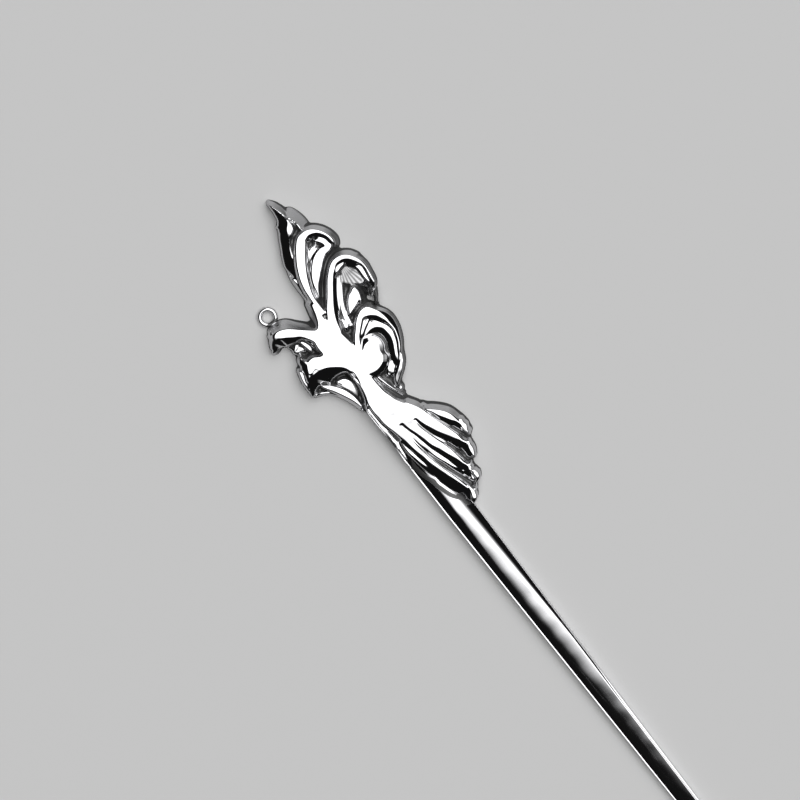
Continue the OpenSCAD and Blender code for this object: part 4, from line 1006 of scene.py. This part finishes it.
@dataclass(frozen=True)
class Viewpoint:
    """The photograph's camera: nearly straight above, with the pin running down to the right."""

    axis_angle: float = radians(51.8)
    lean: float = radians(10)
    distance: float = 330.0
    target: tuple[float, float, float] = (-21.75, 3.82, 1.4)
    focal_pixels: float = 1914.0
    image_pixels: float = 800.0
    sensor: float = 36.0
    nearest: float = 0.01
    farthest: float = 20.0

    def right(self) -> Vector:
        """The picture's right, level."""
        return Vector((cos(self.axis_angle), sin(self.axis_angle), 0))

    def up(self) -> Vector:
        """The picture's up, level."""
        return Vector((-sin(self.axis_angle), cos(self.axis_angle), 0))

    def build(self) -> None:
        """Makes the camera and sets it as the scene's."""
        back = self.up() * sin(self.lean) + Vector((0, 0, cos(self.lean)))
        camera_up = self.up() * cos(self.lean) - Vector((0, 0, sin(self.lean)))
        data = bpy.data.cameras.new("camera")
        data.sensor_width = self.sensor
        data.lens = self.sensor * self.focal_pixels / self.image_pixels
        data.clip_start, data.clip_end = self.nearest, self.farthest
        camera = bpy.data.objects.new("camera", data)
        turn = Matrix((self.right(), camera_up, back)).transposed().to_4x4()
        camera.matrix_world = Matrix.Translation((Vector(self.target) + back * self.distance) * MM) @ turn
        bpy.context.scene.collection.objects.link(camera)
        bpy.context.scene.camera = camera


@dataclass(frozen=True)
class Studio:
    """One broad soft window of light above the pin in a dim room, as the surroundings of the scene.

    The window's edges are angles from straight up, in degrees, along the picture's right and up. Each edge
    fades over its own width. The room's pale walls glow a little up to a height, as the sine of its angle.
    """

    view: Viewpoint = Viewpoint()
    left: tuple[float, float] = (-24.0, -9.0)
    right: tuple[float, float] = (30.0, 62.0)
    near: tuple[float, float] = (-22.0, -8.0)
    far: tuple[float, float] = (42.0, 76.0)
    window: float = 3.3
    room: float = 0.01
    wall_glow: float = 0.3
    wall_top: tuple[float, float] = (0.05, 0.2)
    backdrop: float = 0.75

    def build(self) -> None:
        """Makes the world."""
        world = bpy.data.worlds.new("studio")
        bpy.context.scene.world = world
        graph = Graph(world)
        toward = graph.node("ShaderNodeTexCoord", {}, output="Generated")
        along = [graph.node("ShaderNodeVectorMath", {"operation": "DOT_PRODUCT"}, toward, tuple(axis),
                            output="Value") for axis in (self.view.right(), self.view.up(), (0, 0, 1))]
        across = along[0].angle(along[2])
        upward = along[1].angle(along[2])
        box = (across.step(*self.left) * (1 - across.step(*self.right))
               * upward.step(*self.near) * (1 - upward.step(*self.far)))
        low = 1 - along[2].step(*self.wall_top)
        strength = box * self.window + low * self.wall_glow + self.room
        seen = graph.node("ShaderNodeLightPath", {}, output="Is Camera Ray")
        strength = strength * (1 - seen) + seen * self.backdrop
        background = graph.node("ShaderNodeBackground", {}, (1, 1, 1, 1), strength)
        graph.node("ShaderNodeOutputWorld", {}, background)
        bpy.context.scene.view_settings.view_transform = "Standard"


def corners(bounds: tuple[Vector, Vector]) -> list[list[float]]:
    """Lowest and highest corner as plain lists of numbers."""
    return [list(corner) for corner in bounds]


def main() -> None:
    """Builds the pin, its finish, the floor, the camera and the light."""
    logging.basicConfig(level=logging.INFO, format="%(message)s")
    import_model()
    solid_box = corners(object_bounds())
    view = Viewpoint()
    view.build()
    Studio(view).build()
    PaleFloor().build()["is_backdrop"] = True
    casting = Casting().build()
    casting.data.materials.clear()
    casting.data.materials.append(PolishedPlate().make())
    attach(casting, BODY)
    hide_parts(NODE)
    LOG.info("%s: %d faces", casting.name, len(casting.data.polygons))
    {"solids": solid_box, "scene": corners(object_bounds())}


if __name__ == "__main__":
    main()
